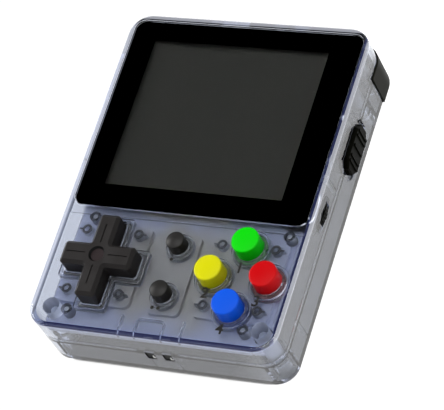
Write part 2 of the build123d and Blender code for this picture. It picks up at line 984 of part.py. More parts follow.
def bay_cuts():
    """Inside of the bay, seat of its cover, thumb scoop and slot for the terminal block."""
    scoop_y = bay_low_y - cover_margin - cover_tab_length
    ball_radius = (thumb_scoop_radius**2 + thumb_scoop_depth**2) / (2 * thumb_scoop_depth)
    scoop = Pos(0, scoop_y, thumb_scoop_depth - ball_radius) * Sphere(ball_radius)
    return [
        block(-bay_half_x, bay_half_x, bay_low_y, bay_high_y, -overrun, bay_ceiling_z),
        prism(cover_plan(cover_gap), -overrun, cover_thickness + seat_gap),
        scoop,
        block(
            terminal_x - terminal_width / 2 - terminal_gap,
            terminal_x + terminal_width / 2 + terminal_gap,
            terminal_low_y - terminal_gap,
            bay_high_y,
            battery_top_z,
            bay_roof_z + overrun,
        ),
    ]


def grille_holes():
    """Round holes in rings in front of the speaker."""
    holes = [disc(speaker_x, speaker_y, grille_hole_radius, -overrun, back_thickness + overrun)]
    for ring in range(1, grille_rings + 1):
        for place in PolarLocations(ring * grille_pitch, 6 * ring):
            x = speaker_x + place.position.X
            y = speaker_y + place.position.Y
            holes.append(disc(x, y, grille_hole_radius, -overrun, back_thickness + overrun))
    return holes


def cover_plan(margin):
    """Plan of the battery cover with its thumb tab, grown by a margin."""
    width = 2 * (bay_half_x + cover_margin + margin)
    low_y = bay_low_y - cover_margin - margin
    high_y = bay_high_y + cover_margin + margin
    plate = RectangleRounded(width, high_y - low_y, cover_corner_radius + margin)
    tab = RectangleRounded(
        cover_tab_width + 2 * margin, 2 * cover_tab_length + 2 * margin, cover_tab_length / 2
    )
    return Pos(0, (low_y + high_y) / 2) * plate + Pos(0, low_y + margin) * tab


def battery_cover():
    """Cover of the battery bay, flush with the back, with grip grooves."""
    cover = prism(cover_plan(0), 0, cover_thickness)
    first_y = bay_low_y - cover_margin + cover_grip_inset
    for index in range(cover_grips):
        y = first_y + index * cover_grip_pitch
        cover -= block(
            -cover_grip_length / 2,
            cover_grip_length / 2,
            y - cover_grip_width / 2,
            y + cover_grip_width / 2,
            -overrun,
            cover_grip_depth,
        )
    return cover


def battery():
    """Flat rechargeable cell."""
    plan = RectangleRounded(battery_width, battery_length, battery_corner_radius)
    return prism(Pos(0, (battery_low_y + battery_high_y) / 2) * plan, battery_bottom_z,
                 battery_top_z)


def terminal_block():
    """Plastic block on the board that holds the battery springs."""
    return block(
        terminal_x - terminal_width / 2,
        terminal_x + terminal_width / 2,
        terminal_low_y,
        terminal_high_y,
        terminal_low_z,
        board_bottom_z,
    )


def terminal_springs():
    """Three bowed strips that press on the battery's end."""
    low_z = terminal_low_z + terminal_gap
    high_z = low_z + spring_height
    middle_z = (low_z + high_z) / 2
    tip_y = battery_high_y + seat_gap
    points = [
        (terminal_low_y, high_z),
        (tip_y, middle_z),
        (terminal_low_y, low_z),
        (terminal_low_y, low_z + 2 * spring_strip),
        (tip_y + spring_strip, middle_z),
        (terminal_low_y, high_z - 2 * spring_strip),
    ]
    springs = []
    for index in (-1, 0, 1):
        x = terminal_x + index * spring_pitch
        springs.append(side_profile(points, x - spring_width / 2, x + spring_width / 2))
    return springs


def lens_plan(inset):
    """Plan of the screen lens, moved inwards by a distance."""
    return Pos(0, lens_centre_y) * RectangleRounded(
        lens_width - 2 * inset, lens_height - 2 * inset, max(lens_corner_radius - inset, seat_gap)
    )


def screen_lens():
    """Flat lens over the display."""
    return prism(lens_plan(0), lens_top_z - lens_thickness, lens_top_z)


def lens_tape():
    """Adhesive frame between the lens and its ledge."""
    plan = lens_plan(fit_gap) - lens_plan(fit_gap + tape_width)
    return prism(plan, ledge_top_z, ledge_top_z + tape_thickness)


def display_plan(inset):
    """Plan of the display, moved inwards by a distance."""
    plan = Rectangle(lcd_right_x - lcd_left_x - 2 * inset, lcd_top_y - lcd_bottom_y - 2 * inset)
    return Pos((lcd_left_x + lcd_right_x) / 2, (lcd_bottom_y + lcd_top_y) / 2) * plan


def lcd_gasket():
    """Foam frame between the ledge and the display glass."""
    plan = display_plan(fit_gap) - display_plan(fit_gap + gasket_width)
    return prism(plan, lcd_top_z, ledge_bottom_z)


def lcd_panel():
    """Display glass."""
    return prism(display_plan(0), lcd_bottom_z, lcd_top_z)


def lcd_backlight():
    """Tray behind the display glass, with a sunk back."""
    tray = prism(display_plan(0), backlight_bottom_z, lcd_bottom_z)
    return tray - prism(
        display_plan(backlight_rim), backlight_bottom_z - overrun, backlight_bottom_z + backlight_recess
    )


def lcd_foam():
    """Foam strips between the board and the display."""
    strips = []
    low_y = lcd_bottom_y + foam_strip_margin
    high_y = lcd_top_y - foam_strip_margin
    middle_x = (lcd_left_x + lcd_right_x) / 2
    for x in (lcd_left_x + foam_strip_margin, middle_x, lcd_right_x - foam_strip_margin):
        strips.append(
            block(
                x - foam_strip_width / 2,
                x + foam_strip_width / 2,
                low_y,
                high_y,
                board_top_z,
                backlight_bottom_z + backlight_recess,
            )
        )
    return strips


def lcd_connector():
    """Ribbon connector on the board below the display."""
    high_y = lcd_bottom_y - connector_distance
    return block(
        picture_shift - connector_width / 2,
        picture_shift + connector_width / 2,
        high_y - connector_depth,
        high_y,
        board_top_z,
        board_top_z + connector_height,
    )


def lcd_ribbon():
    """Ribbon from the display glass down to its connector."""
    start_z = lcd_bottom_z + lcd_thickness / 2
    end_y = lcd_bottom_y - connector_distance
    end_z = board_top_z + connector_height / 2
    bend_y = (lcd_bottom_y + end_y) / 2
    points = [
        (lcd_bottom_y, start_z),
        (bend_y, start_z),
        (bend_y, end_z),
        (end_y, end_z),
        (end_y, end_z - ribbon_thickness),
        (bend_y + ribbon_thickness, end_z - ribbon_thickness),
        (bend_y + ribbon_thickness, start_z - ribbon_thickness),
        (lcd_bottom_y, start_z - ribbon_thickness),
    ]
    return side_profile(points, picture_shift - ribbon_width / 2, picture_shift + ribbon_width / 2)


def main_board():
    """Circuit board with holes for posts, screws and the volume wheel."""
    height = board_high_y - board_low_y
    plan = RectangleRounded(2 * board_side_x, height, board_corner_radius)
    board = prism(Pos(0, (board_low_y + board_high_y) / 2) * plan, board_bottom_z, board_top_z)
    low_z = board_bottom_z - overrun
    high_z = board_top_z + overrun
    for x, y in case_screw_places:
        board -= disc(x, y, post_radius + post_gap, low_z, high_z)
    for x, y, _ in board_boss_places:
        board -= disc(x, y, board_screw_radius + fit_gap, low_z, high_z)
    for side in (-1, 1):
        board -= disc(side * hinge_x, hinge_y, hinge_post_radius + post_gap, low_z, high_z)
    return board - disc(wheel_x, wheel_y, wheel_radius + post_gap, low_z, high_z)


def screw(x, y, radius, head_radius, head_height, seat_z, length):
    """Upright screw with its head below the seat and a cross recess."""
    body = disc(x, y, radius, seat_z, seat_z + length)
    body += disc(x, y, head_radius, seat_z - head_height, seat_z)
    for slot_x, slot_y in ((head_radius, screw_recess_width), (screw_recess_width, head_radius)):
        body -= block(
            x - slot_x / 2,
            x + slot_x / 2,
            y - slot_y / 2,
            y + slot_y / 2,
            seat_z - head_height - overrun,
            seat_z - head_height + screw_recess_depth,
        )
    return body


def case_screws():
    """Four screws that join the shells."""
    return [
        screw(
            x,
            y,
            case_screw_radius,
            case_screw_head_radius,
            case_screw_head_height,
            case_screw_seat,
            case_screw_length,
        )
        for x, y in case_screw_places
    ]


def board_screws():
    """Six small screws that hold the board to the front shell."""
    length = board_thickness + board_screw_reach
    return [
        screw(
            x,
            y,
            board_screw_radius,
            board_screw_head_radius,
            board_screw_head_height,
            board_bottom_z,
            length,
        )
        for x, y, _ in board_boss_places
    ]


def domed_cap(x, y, radius, low_z, top_z, dome, edge_radius):
    """Round button cap with a domed top and a rounded rim."""
    ball_radius = (radius**2 + dome**2) / (2 * dome)
    cap = disc(x, y, radius, low_z, top_z) & Pos(x, y, top_z - ball_radius) * Sphere(ball_radius)
    rim = cap.edges().filter_by(lambda edge: edge.is_closed).sort_by(Axis.Z)[-1]
    return fillet(rim, edge_radius)


def round_button(x, y, radius, rise, dome, edge_radius, flange_radius):
    """Round button with its flange under the face."""
    button = domed_cap(x, y, radius, flange_bottom_z, case_depth + rise, dome, edge_radius)
    button += disc(x, y, flange_radius, flange_bottom_z, flange_top_z)
    for side in (-1, 1):
        notch_x = x + side * flange_radius
        button -= block(
            notch_x - button_notch_depth,
            notch_x + button_notch_depth,
            y - button_notch_width / 2,
            y + button_notch_width / 2,
            flange_bottom_z - overrun,
            flange_top_z + overrun,
        )
    return button


def dpad():
    """Direction pad: bevelled cross with a dimple, grooves, flange and pivot cup."""
    top_z = case_depth + dpad_rise
    pad = rounded_cross(0, dpad_flange_bottom_z, top_z)
    pad = chamfer(pad.faces().sort_by(Axis.Z)[-1].edges(), dpad_bevel)
    pad += rounded_cross(dpad_flange_margin, dpad_flange_bottom_z, dpad_flange_top_z)
    floor_radius = dpad_dimple_radius * dpad_dimple_floor_share
    pad -= cone(dpad_x, dpad_y, floor_radius, dpad_dimple_radius, top_z - dpad_dimple_depth, top_z)
    groove = Rectangle(dpad_groove_length, dpad_groove_width)
    groove = Pos(dpad_groove_start + dpad_groove_length / 2, 0) * groove
    for turn in range(4):
        plan = Pos(dpad_x, dpad_y) * Rot(0, 0, turn * 90) * groove
        pad -= prism(plan, top_z - dpad_groove_depth, top_z + overrun)
    return pad - Pos(dpad_x, dpad_y, pivot_z) * Sphere(pivot_radius + shaft_gap)


def dpad_pivot():
    """Small ball that the direction pad rocks on."""
    return Pos(dpad_x, dpad_y, pivot_z) * Sphere(pivot_radius)


def membrane_plan(centre_x, centre_y):
    """Plan of a membrane that reaches around its pegs."""
    half_x = peg_spread_x + peg_radius + membrane_border
    half_y = peg_spread_y + peg_radius + membrane_border
    return Pos(centre_x, centre_y) * RectangleRounded(2 * half_x, 2 * half_y, membrane_border)


def clear_of_posts(membrane):
    """The membrane with room cut for every boss and post that crosses it."""
    for x, y, radius in board_boss_places:
        membrane -= disc(x, y, radius + post_gap, board_top_z - overrun, membrane_top_z + overrun)
    for x, y in case_screw_places:
        membrane -= disc(x, y, post_radius + post_gap, board_top_z - overrun, membrane_top_z + overrun)
    return membrane


def dpad_membrane():
    """Rubber sheet with a dome under each arm of the direction pad."""
    sheet = prism(membrane_plan(dpad_sheet_x, dpad_sheet_y), board_top_z, membrane_top_z)
    sheet -= rounded_cross(dpad_flange_margin + post_gap, web_top_z, membrane_top_z + overrun)
    sheet -= disc(dpad_x, dpad_y, 2 * pivot_radius, board_top_z - overrun, membrane_top_z)
    reach_x = dpad_half_width - small_dome_foot_radius
    reach_y = dpad_half_height - small_dome_foot_radius
    for x, y in ((reach_x, 0), (-reach_x, 0), (0, reach_y), (0, -reach_y)):
        sheet += cone(
            dpad_x + x,
            dpad_y + y,
            small_dome_foot_radius,
            small_dome_head_radius,
            membrane_web / 2 + board_top_z,
            dpad_flange_bottom_z - dome_gap,
        )
    return clear_of_posts(sheet)


def action_membrane():
    """Rubber sheet with a dome under each coloured button."""
    sheet = prism(membrane_plan(action_sheet_x, action_sheet_y), board_top_z, membrane_top_z)
    for x, y in action_places.values():
        room = action_flange_radius + post_gap
        sheet -= disc(x, y, room, web_top_z, membrane_top_z + overrun)
    for x, y in action_places.values():
        sheet += cone(
            x,
            y,
            dome_foot_radius,
            dome_head_radius,
            membrane_web / 2 + board_top_z,
            flange_bottom_z - dome_gap,
        )
    return clear_of_posts(sheet)


def menu_membrane():
    """Rubber strip with a dome under each small black button."""
    low_y = menu_y - menu_spacing - menu_flange_radius - membrane_border
    high_y = menu_y + menu_flange_radius + membrane_border
    width = 2 * (menu_flange_radius + membrane_border)
    plan = RectangleRounded(width, high_y - low_y, membrane_border)
    sheet = prism(Pos(menu_shift, (low_y + high_y) / 2) * plan, board_top_z, membrane_top_z)
    for x, y in menu_places.values():
        room = menu_flange_radius + post_gap
        sheet -= disc(x, y, room, web_top_z, membrane_top_z + overrun)
    for x, y in menu_places.values():
        sheet += cone(
            x,
            y,
            small_dome_foot_radius,
            small_dome_head_radius,
            membrane_web / 2 + board_top_z,
            flange_bottom_z - dome_gap,
        )
    return clear_of_posts(sheet)


def shoulder_button(side):
    """Shoulder button: curved corner band, hinge ear, web and pusher."""
    outer = prism(case_outline(-shoulder_proud), shoulder_bottom, shoulder_top)
    outer = fillet(outer.faces().sort_by(Axis.Z)[-1].edges(), shoulder_edge_radius)
    outer = fillet(outer.faces().sort_by(Axis.Z)[0].edges(), shoulder_edge_radius)
    button = outer & shoulder_band(shoulder_thickness, 0, shoulder_bottom, shoulder_top)
    low_z = hinge_boss_top_z + hinge_ear_gap
    high_z = hinge_post_bottom - hinge_ear_gap
    button += disc(hinge_x, hinge_y, hinge_ear_radius, low_z, high_z)
    button += block(
        hinge_x,
        half_width - shoulder_thickness / 2,
        hinge_y - hinge_ear_radius / 2,
        hinge_y + hinge_ear_radius / 2,
        low_z,
        high_z,
    )
    button += block(
        pusher_x - pusher_width / 2,
        pusher_x + pusher_width / 2,
        shoulder_inner_y - pusher_length,
        shoulder_inner_y + shoulder_thickness / 2,
        shoulder_top - shoulder_edge_radius - pusher_height,
        shoulder_top - shoulder_edge_radius,
    )
    bore = hinge_pin_radius + shaft_gap
    button -= disc(hinge_x, hinge_y, bore, low_z - overrun, high_z + overrun)
    return mirrored(button, side)


def shoulder_pin(side):
    """Steel hinge pin of a shoulder button."""
    return disc(side * hinge_x, hinge_y, hinge_pin_radius, hinge_pin_low_z, hinge_pin_high_z)


def shoulder_switch(side):
    """Body of the push switch behind a shoulder button."""
    body = block(
        pusher_x - tact_width / 2,
        pusher_x + tact_width / 2,
        tact_front_y - tact_depth,
        tact_front_y,
        board_bottom_z - tact_height,
        board_bottom_z,
    )
    bore_low_y = tact_front_y - tact_plunger_seat - plunger_travel - tact_travel_margin
    bore = tact_plunger_radius + tact_bore_gap
    body -= rod_along_y(pusher_x, plunger_z, bore, bore_low_y, tact_front_y + overrun)
    return mirrored(body, side)


def switch_plunger(side):
    """Moving plunger of a shoulder switch."""
    low_y = tact_front_y - tact_plunger_seat
    return mirrored(rod_along_y(pusher_x, plunger_z, tact_plunger_radius, low_y, plunger_tip_y), side)


def power_knob():
    """Knob of the power switch: octagonal plate, grip ribs, neck and inner flange."""
    plate_low_x = switch_wall_x + fit_gap
    plate_high_x = half_width + knob_proud
    plate = knob_outline(0, plate_low_x, plate_high_x)
    plate = chamfer(plate.faces().sort_by(Axis.X)[-1].edges(), knob_bevel)
    rib_reach = knob_width / 2 - knob_bevel - knob_rib_width
    first_y = knob_length / 2 - knob_corner
    rib_shares = (-1, 0, 1)
    for share in rib_shares:
        for step in (0, 1) if share else (0,):
            y = switch_y + share * (first_y - step * knob_rib_pitch)
            plate += block(
                plate_high_x - knob_bevel,
                plate_high_x + knob_rib_height,
                y - knob_rib_width / 2,
                y + knob_rib_width / 2,
                switch_z - rib_reach,
                switch_z + rib_reach,
            )
    flange_high_x = inner_x - guide_gap
    flange_low_x = flange_high_x - knob_flange_thickness
    plate += block(
        flange_low_x,
        plate_low_x,
        switch_y - knob_neck_length / 2,
        switch_y + knob_neck_length / 2,
        switch_z - knob_neck_width / 2,
        switch_z + knob_neck_width / 2,
    )
    plate += block(
        flange_low_x,
        flange_high_x,
        switch_y - knob_flange_length / 2,
        switch_y + knob_flange_length / 2,
        switch_z - knob_flange_width / 2,
        switch_z + knob_flange_width / 2,
    )
    return plate - block(
        flange_low_x - overrun,
        flange_high_x,
        switch_y - lever_width / 2 - shaft_gap,
        switch_y + lever_width / 2 + shaft_gap,
        switch_z - lever_height / 2 - shaft_gap,
        switch_z + lever_height / 2 + shaft_gap,
    )


def switch_front_x():
    """Outer face of the power switch body."""
    return inner_x - guide_gap - knob_flange_thickness - guide_gap


def power_lever():
    """Sliding lever of the power switch, held in the knob."""
    return block(
        switch_front_x() - lever_length,
        inner_x - guide_gap - shaft_gap,
        switch_y - lever_width / 2,
        switch_y + lever_width / 2,
        switch_z - lever_height / 2,
        switch_z + lever_height / 2,
    )


def power_switch_body():
    """Body of the power switch under the board."""
    front_x = switch_front_x()
    body = block(
        front_x - switch_body_depth,
        front_x,
        switch_y - switch_body_length / 2,
        switch_y + switch_body_length / 2,
        switch_z - switch_body_below,
        board_bottom_z,
    )
    travel = lever_width / 2 + switch_travel + shaft_gap
    return body - block(
        front_x - lever_length - fit_gap,
        front_x + overrun,
        switch_y - travel,
        switch_y + travel,
        switch_z - lever_height / 2 - shaft_gap,
        switch_z + lever_height / 2 + shaft_gap,
    )


def volume_wheel():
    """Knurled thumb wheel."""
    wheel = disc(wheel_x, wheel_y, wheel_radius, wheel_z, wheel_top_z)
    for place in PolarLocations(wheel_radius, wheel_knurls):
        x = wheel_x + place.position.X
        y = wheel_y + place.position.Y
        wheel -= disc(x, y, wheel_knurl_radius, wheel_z - overrun, wheel_top_z + overrun)
    return wheel - disc(wheel_x, wheel_y, wheel_bore_radius, wheel_z - overrun, wheel_top_z + overrun)


def volume_pot():
    """Base and stem of the volume control, hung under the board."""
    base_top_z = wheel_z - shaft_gap
    base_low_z = base_top_z - pot_base_thickness
    notch_x = wheel_x - wheel_radius - post_gap
    half = pot_base_width / 2
    pot = block(notch_x - pot_lap, wheel_x + half, wheel_y - half, wheel_y + half, base_low_z,
                base_top_z)
    pot += block(notch_x - pot_lap, notch_x - post_gap, wheel_y - half, wheel_y + half, base_low_z,
                 board_bottom_z)
    stem_radius = wheel_bore_radius - shaft_gap
    return pot + disc(wheel_x, wheel_y, stem_radius, base_low_z, wheel_top_z - pot_stem_margin)


def usb_socket():
    """Metal shell of the charging socket."""
    low_y = usb_high_y - usb_depth
    shell = block(
        usb_x - usb_width / 2, usb_x + usb_width / 2, low_y, usb_high_y, usb_low_z, board_bottom_z
    )
    return shell - block(
        usb_x - usb_width / 2 + usb_shell,
        usb_x + usb_width / 2 - usb_shell,
        low_y - overrun,
        usb_high_y + overrun,
        usb_low_z + usb_shell,
        board_bottom_z - usb_shell,
    )


def usb_tongue():
    """Plastic insert and tongue inside the charging socket."""
    low_y = usb_high_y - usb_depth
    insert = block(
        usb_x - usb_width / 2 + usb_shell,
        usb_x + usb_width / 2 - usb_shell,
        low_y,
        low_y + usb_block_depth,
        usb_low_z + usb_shell,
        board_bottom_z - usb_shell,
    )
    return insert + block(
        usb_x - usb_tongue_width / 2,
        usb_x + usb_tongue_width / 2,
        low_y,
        usb_high_y - usb_tongue_sink,
        usb_centre_z - usb_tongue_height / 2,
        usb_centre_z + usb_tongue_height / 2,
    )


def earphone_jack():
    """Earphone socket with its round nose and bore."""
    body_high_y = inner_y - fit_gap
    body_low_y = jack_mouth_y - jack_bore_length - jack_back_wall
    jack = block(
        jack_x - jack_width / 2,
        jack_x + jack_width / 2,
        body_low_y,
        body_high_y,
        board_bottom_z - jack_height,
        board_bottom_z,
    )
    jack += rod_along_y(jack_x, jack_z, jack_nose_radius, body_low_y + jack_back_wall, jack_mouth_y)
    bore_low_y = jack_mouth_y - jack_bore_length
    return jack - rod_along_y(jack_x, jack_z, jack_bore_radius, bore_low_y, jack_mouth_y + overrun)


def card_socket():
    """Memory card socket under the board, open to the left."""
    low_x = -inner_x + fit_gap
    socket = block(
        low_x,
        low_x + card_socket_depth,
        card_y - card_socket_width / 2,
        card_y + card_socket_width / 2,
        board_bottom_z - card_socket_height,
        board_bottom_z,
    )
    return socket - block(
        low_x - overrun,
        low_x + card_socket_depth - card_socket_wall,
        card_y - card_slot_width / 2,
        card_y + card_slot_width / 2,
        card_z - card_slot_height / 2,
        card_z + card_slot_height / 2,
    )


def contact_blocks():
    """Two black contact blocks trapped between the shells in the bottom wall."""
    low_y = -half_height + contact_sink
    return [
        block(
            x - contact_width / 2,
            x + contact_width / 2,
            low_y,
            low_y + contact_depth,
            contact_low_z,
            contact_low_z + contact_height,
        )
        for x in contact_places()
    ]


def contact_tongues():
    """A bright L-shaped strip on the outer face of each contact block."""
    high_y = -half_height + contact_sink
    low_y = high_y - tongue_thickness
    low_z = contact_low_z + tongue_rise
    tongues = []
    for x in contact_places():
        low_x = x - contact_width / 2 + tongue_inset
        strip = block(low_x, low_x + tongue_strip, low_y, high_y, low_z, low_z + tongue_height)
        strip += block(low_x, low_x + tongue_arm, low_y, high_y, low_z, low_z + tongue_strip)
        tongues.append(strip)
    return tongues


def speaker():
    """Round speaker with its magnet."""
    rim_top_z = speaker_low_z + speaker_rim_height
    body = disc(speaker_x, speaker_y, speaker_radius, speaker_low_z, rim_top_z)
    return body + disc(
        speaker_x, speaker_y, speaker_magnet_radius, speaker_low_z, rim_top_z + speaker_magnet_height
    )


def speaker_foam():
    """Foam ring between the speaker and the back."""
    ring = disc(speaker_x, speaker_y, speaker_radius, back_thickness, speaker_low_z)
    return ring - disc(
        speaker_x, speaker_y, speaker_radius - speaker_foam_width, 0, speaker_low_z + overrun
    )


def processor():
    """Main chip under the board."""
    half = processor_size / 2
    return block(
        processor_x - half,
        processor_x + half,
        processor_y - half,
        processor_y + half,
        board_bottom_z - processor_thickness,
        board_bottom_z,
    )


def memory_chip():
    """Memory chip beside the main chip."""
    return block(
        memory_x - memory_width / 2,
        memory_x + memory_width / 2,
        processor_y - memory_length / 2,
        processor_y + memory_length / 2,
        board_bottom_z - memory_thickness,
        board_bottom_z,
    )


def crystal():
    """Clock crystal beside the main chip."""
    return block(
        crystal_x - crystal_width / 2,
        crystal_x + crystal_width / 2,
        processor_y - crystal_length / 2,
        processor_y + crystal_length / 2,
        board_bottom_z - crystal_height,
        board_bottom_z,
    )


def capacitors():
    """Round and flat small parts under the lower end of the board."""
    low_z = board_bottom_z - capacitor_height
    parts = [disc(capacitor_x, capacitor_y, capacitor_radius, low_z, board_bottom_z)]
    first_x = capacitor_x + 2 * capacitor_radius
    for index in range(small_part_count):
        x = first_x + index * small_part_pitch
        parts.append(
            block(
                x - small_part_width / 2,
                x + small_part_width / 2,
                capacitor_y - small_part_length / 2,
                capacitor_y + small_part_length / 2,
                board_bottom_z - small_part_height,
                board_bottom_z,
            )
        )
    return parts


pieces = {
    "front_shell": front_shell(),
    "rear_shell": rear_shell(),
    "battery_cover": battery_cover(),
    "battery": battery(),
    "terminal_block": terminal_block(),
    "terminal_springs": terminal_springs(),
    "screen_lens": screen_lens(),
    "lens_tape": lens_tape(),
    "lcd_gasket": lcd_gasket(),
    "lcd_panel": lcd_panel(),
    "lcd_backlight": lcd_backlight(),
    "lcd_foam": lcd_foam(),
    "lcd_ribbon": lcd_ribbon(),
    "lcd_connector": lcd_connector(),
    "main_board": main_board(),
    "case_screws": case_screws(),
    "board_screws": board_screws(),
    "dpad": dpad(),
    "dpad_pivot": dpad_pivot(),
    "dpad_membrane": dpad_membrane(),
    "action_membrane": action_membrane(),
    "menu_membrane": menu_membrane(),
    "power_knob": power_knob(),
    "power_lever": power_lever(),
    "power_switch_body": power_switch_body(),
    "volume_wheel": volume_wheel(),
    "volume_pot": volume_pot(),
    "usb_socket": usb_socket(),
    "usb_tongue": usb_tongue(),
    "earphone_jack": earphone_jack(),
    "card_socket": card_socket(),
    "contact_blocks": contact_blocks(),
    "contact_tongues": contact_tongues(),
    "speaker": speaker(),
    "speaker_foam": speaker_foam(),
    "processor": processor(),
    "memory_chip": memory_chip(),
    "crystal": crystal(),
    "capacitors": capacitors(),
}
for name, (x, y) in action_places.items():
    pieces[name] = round_button(
        x, y, action_radius, action_rise, action_dome, action_edge_radius, action_flange_radius
    )
for name, (x, y) in menu_places.items():
    pieces[name] = round_button(
        x, y, menu_radius, menu_rise, menu_dome, menu_edge_radius, menu_flange_radius
    )
for hand, side in (("left", -1), ("right", 1)):
    pieces[hand + "_shoulder"] = shoulder_button(side)
    pieces[hand + "_shoulder_pin"] = shoulder_pin(side)
    pieces[hand + "_shoulder_switch"] = shoulder_switch(side)
    pieces[hand + "_plunger"] = switch_plunger(side)

os.makedirs("parts", exist_ok=True)
for name, shape in pieces.items():
    if isinstance(shape, list):
        shape = Compound(children=shape)
    export_step(shape, f"parts/{name}.step")
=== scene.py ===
import bmesh
import bpy
from mathutils import Matrix, Vector


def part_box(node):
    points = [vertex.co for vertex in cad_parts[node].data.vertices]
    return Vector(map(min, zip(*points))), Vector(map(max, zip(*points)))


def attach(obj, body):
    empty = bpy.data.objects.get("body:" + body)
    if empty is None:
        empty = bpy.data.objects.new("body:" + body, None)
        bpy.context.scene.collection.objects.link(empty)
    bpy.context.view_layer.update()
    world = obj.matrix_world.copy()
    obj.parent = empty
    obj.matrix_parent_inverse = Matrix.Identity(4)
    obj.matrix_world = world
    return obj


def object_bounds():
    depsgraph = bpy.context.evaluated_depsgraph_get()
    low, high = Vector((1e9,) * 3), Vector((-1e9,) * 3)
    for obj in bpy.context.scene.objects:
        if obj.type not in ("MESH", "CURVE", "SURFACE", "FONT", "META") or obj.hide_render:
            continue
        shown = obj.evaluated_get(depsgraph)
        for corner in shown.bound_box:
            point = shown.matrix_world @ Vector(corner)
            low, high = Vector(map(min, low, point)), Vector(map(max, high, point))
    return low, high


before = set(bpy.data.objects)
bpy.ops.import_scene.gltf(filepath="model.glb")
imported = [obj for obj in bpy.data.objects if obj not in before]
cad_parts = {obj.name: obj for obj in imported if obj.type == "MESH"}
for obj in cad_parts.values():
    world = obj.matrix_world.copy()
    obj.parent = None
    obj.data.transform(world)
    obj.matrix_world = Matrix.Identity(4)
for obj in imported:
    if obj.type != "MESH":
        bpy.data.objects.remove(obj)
cad_low, cad_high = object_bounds()


# Clear case
# The front and rear shells are moulded in clear, faintly blue polycarbonate, polished in the mould.
# Thin walls look almost clear, and long paths along a wall turn blue, so the tint sits in the volume.
MM = 0.001
FLATTEN = (1.0, 1.0, 0.0)
MIX_FACTOR = 0
MIX_FIRST_VALUE = 2
MIX_SECOND_VALUE = 3
MIX_FIRST_COLOUR = 6
MIX_SECOND_COLOUR = 7
MIX_VALUE_RESULT = 0
MIX_COLOUR_RESULT = 2


def vector_step(tree, operation, source, value=None):
    """Adds one step of vector maths to a node tree, and gives its result."""
    step = tree.nodes.new("ShaderNodeVectorMath")
    step.operation = operation
    if value is not None:
        step.inputs[1].default_value = value
    tree.links.new(source, step.inputs[0])
    if operation in ("LENGTH", "DISTANCE", "DOT_PRODUCT"):
        return step.outputs["Value"]
    return step.outputs["Vector"]


def number_step(tree, operation, first, second):
    """Adds one step of maths to a node tree. The second term is a fixed number or another result."""
    step = tree.nodes.new("ShaderNodeMath")
    step.operation = operation
    tree.links.new(first, step.inputs[0])
    if isinstance(second, float):
        step.inputs[1].default_value = second
    else:
        tree.links.new(second, step.inputs[1])
    return step.outputs["Value"]


def ramp_step(tree, source, start, end, before, after):
    """Adds a ramp to a node tree: one value up to its start, and the other from its end on."""
    step = tree.nodes.new("ShaderNodeMapRange")
    step.inputs["From Min"].default_value = start
    step.inputs["From Max"].default_value = end
    step.inputs["To Min"].default_value = before
    step.inputs["To Max"].default_value = after
    tree.links.new(source, step.inputs["Value"])
    return step.outputs["Result"]


def colour_mix(tree, factor, first, second, way="MIX"):
    """Adds a mix of two colours to a node tree. Each is a fixed colour or another result."""
    mix = tree.nodes.new("ShaderNodeMix")
    mix.data_type = "RGBA"
    mix.blend_type = way
    tree.links.new(factor, mix.inputs[MIX_FACTOR])
    for slot, colour in ((MIX_FIRST_COLOUR, first), (MIX_SECOND_COLOUR, second)):
        if isinstance(colour, bpy.types.NodeSocket):
            tree.links.new(colour, mix.inputs[slot])
        else:
            mix.inputs[slot].default_value = (*colour, 1.0)
    return mix.outputs[MIX_COLOUR_RESULT]


def box_distance(tree, place, low_corner, high_corner):
    """Adds the distance from a box to a node tree. It is 0 inside the box."""
    centred = vector_step(tree, "SUBTRACT", place, (low_corner + high_corner) / 2)
    folded = vector_step(tree, "ABSOLUTE", centred)
    past = vector_step(tree, "SUBTRACT", folded, (high_corner - low_corner) / 2)
    outside = vector_step(tree, "MAXIMUM", past)
    return vector_step(tree, "LENGTH", outside)


def moulding_texture():
    """Node group of what moulded plastic shows: fine grain, broad ripple and smudges from handling."""
    group = bpy.data.node_groups.new("moulding_texture", "ShaderNodeTree")
    sockets = group.interface
    for name, value in (
        ("Grain scale", 5000.0),
        ("Ripple scale", 120.0),
        ("Clean roughness", 0.1),
        ("Smudged roughness", 0.2),
    ):
        socket = sockets.new_socket(name, in_out="INPUT", socket_type="NodeSocketFloat")
        socket.default_value = value
    for name in ("Grain", "Ripple", "Roughness"):
        sockets.new_socket(name, in_out="OUTPUT", socket_type="NodeSocketFloat")
    nodes = group.nodes
    links = group.links
    given = nodes.new("NodeGroupInput")
    result = nodes.new("NodeGroupOutput")
    place = nodes.new("ShaderNodeTexCoord")
    for name, detail in (("Grain", 2.0), ("Ripple", 1.0)):
        noise = nodes.new("ShaderNodeTexNoise")
        noise.inputs["Detail"].default_value = detail
        links.new(place.outputs["Object"], noise.inputs["Vector"])
        links.new(given.outputs[name + " scale"], noise.inputs["Scale"])
        links.new(noise.outputs["Fac"], result.inputs[name])
    smudge = nodes.new("ShaderNodeTexNoise")
    smudge.inputs["Scale"].default_value = 90.0
    smudge.inputs["Detail"].default_value = 4.0
    smudge.inputs["Distortion"].default_value = 0.8
    links.new(place.outputs["Object"], smudge.inputs["Vector"])
    spread = nodes.new("ShaderNodeMapRange")
    spread.inputs["From Min"].default_value = 0.4
    spread.inputs["From Max"].default_value = 0.65
    links.new(smudge.outputs["Fac"], spread.inputs["Value"])
    links.new(given.outputs["Clean roughness"], spread.inputs["To Min"])
    links.new(given.outputs["Smudged roughness"], spread.inputs["To Max"])
    links.new(spread.outputs["Result"], result.inputs["Roughness"])
    return group


texture_group = moulding_texture()


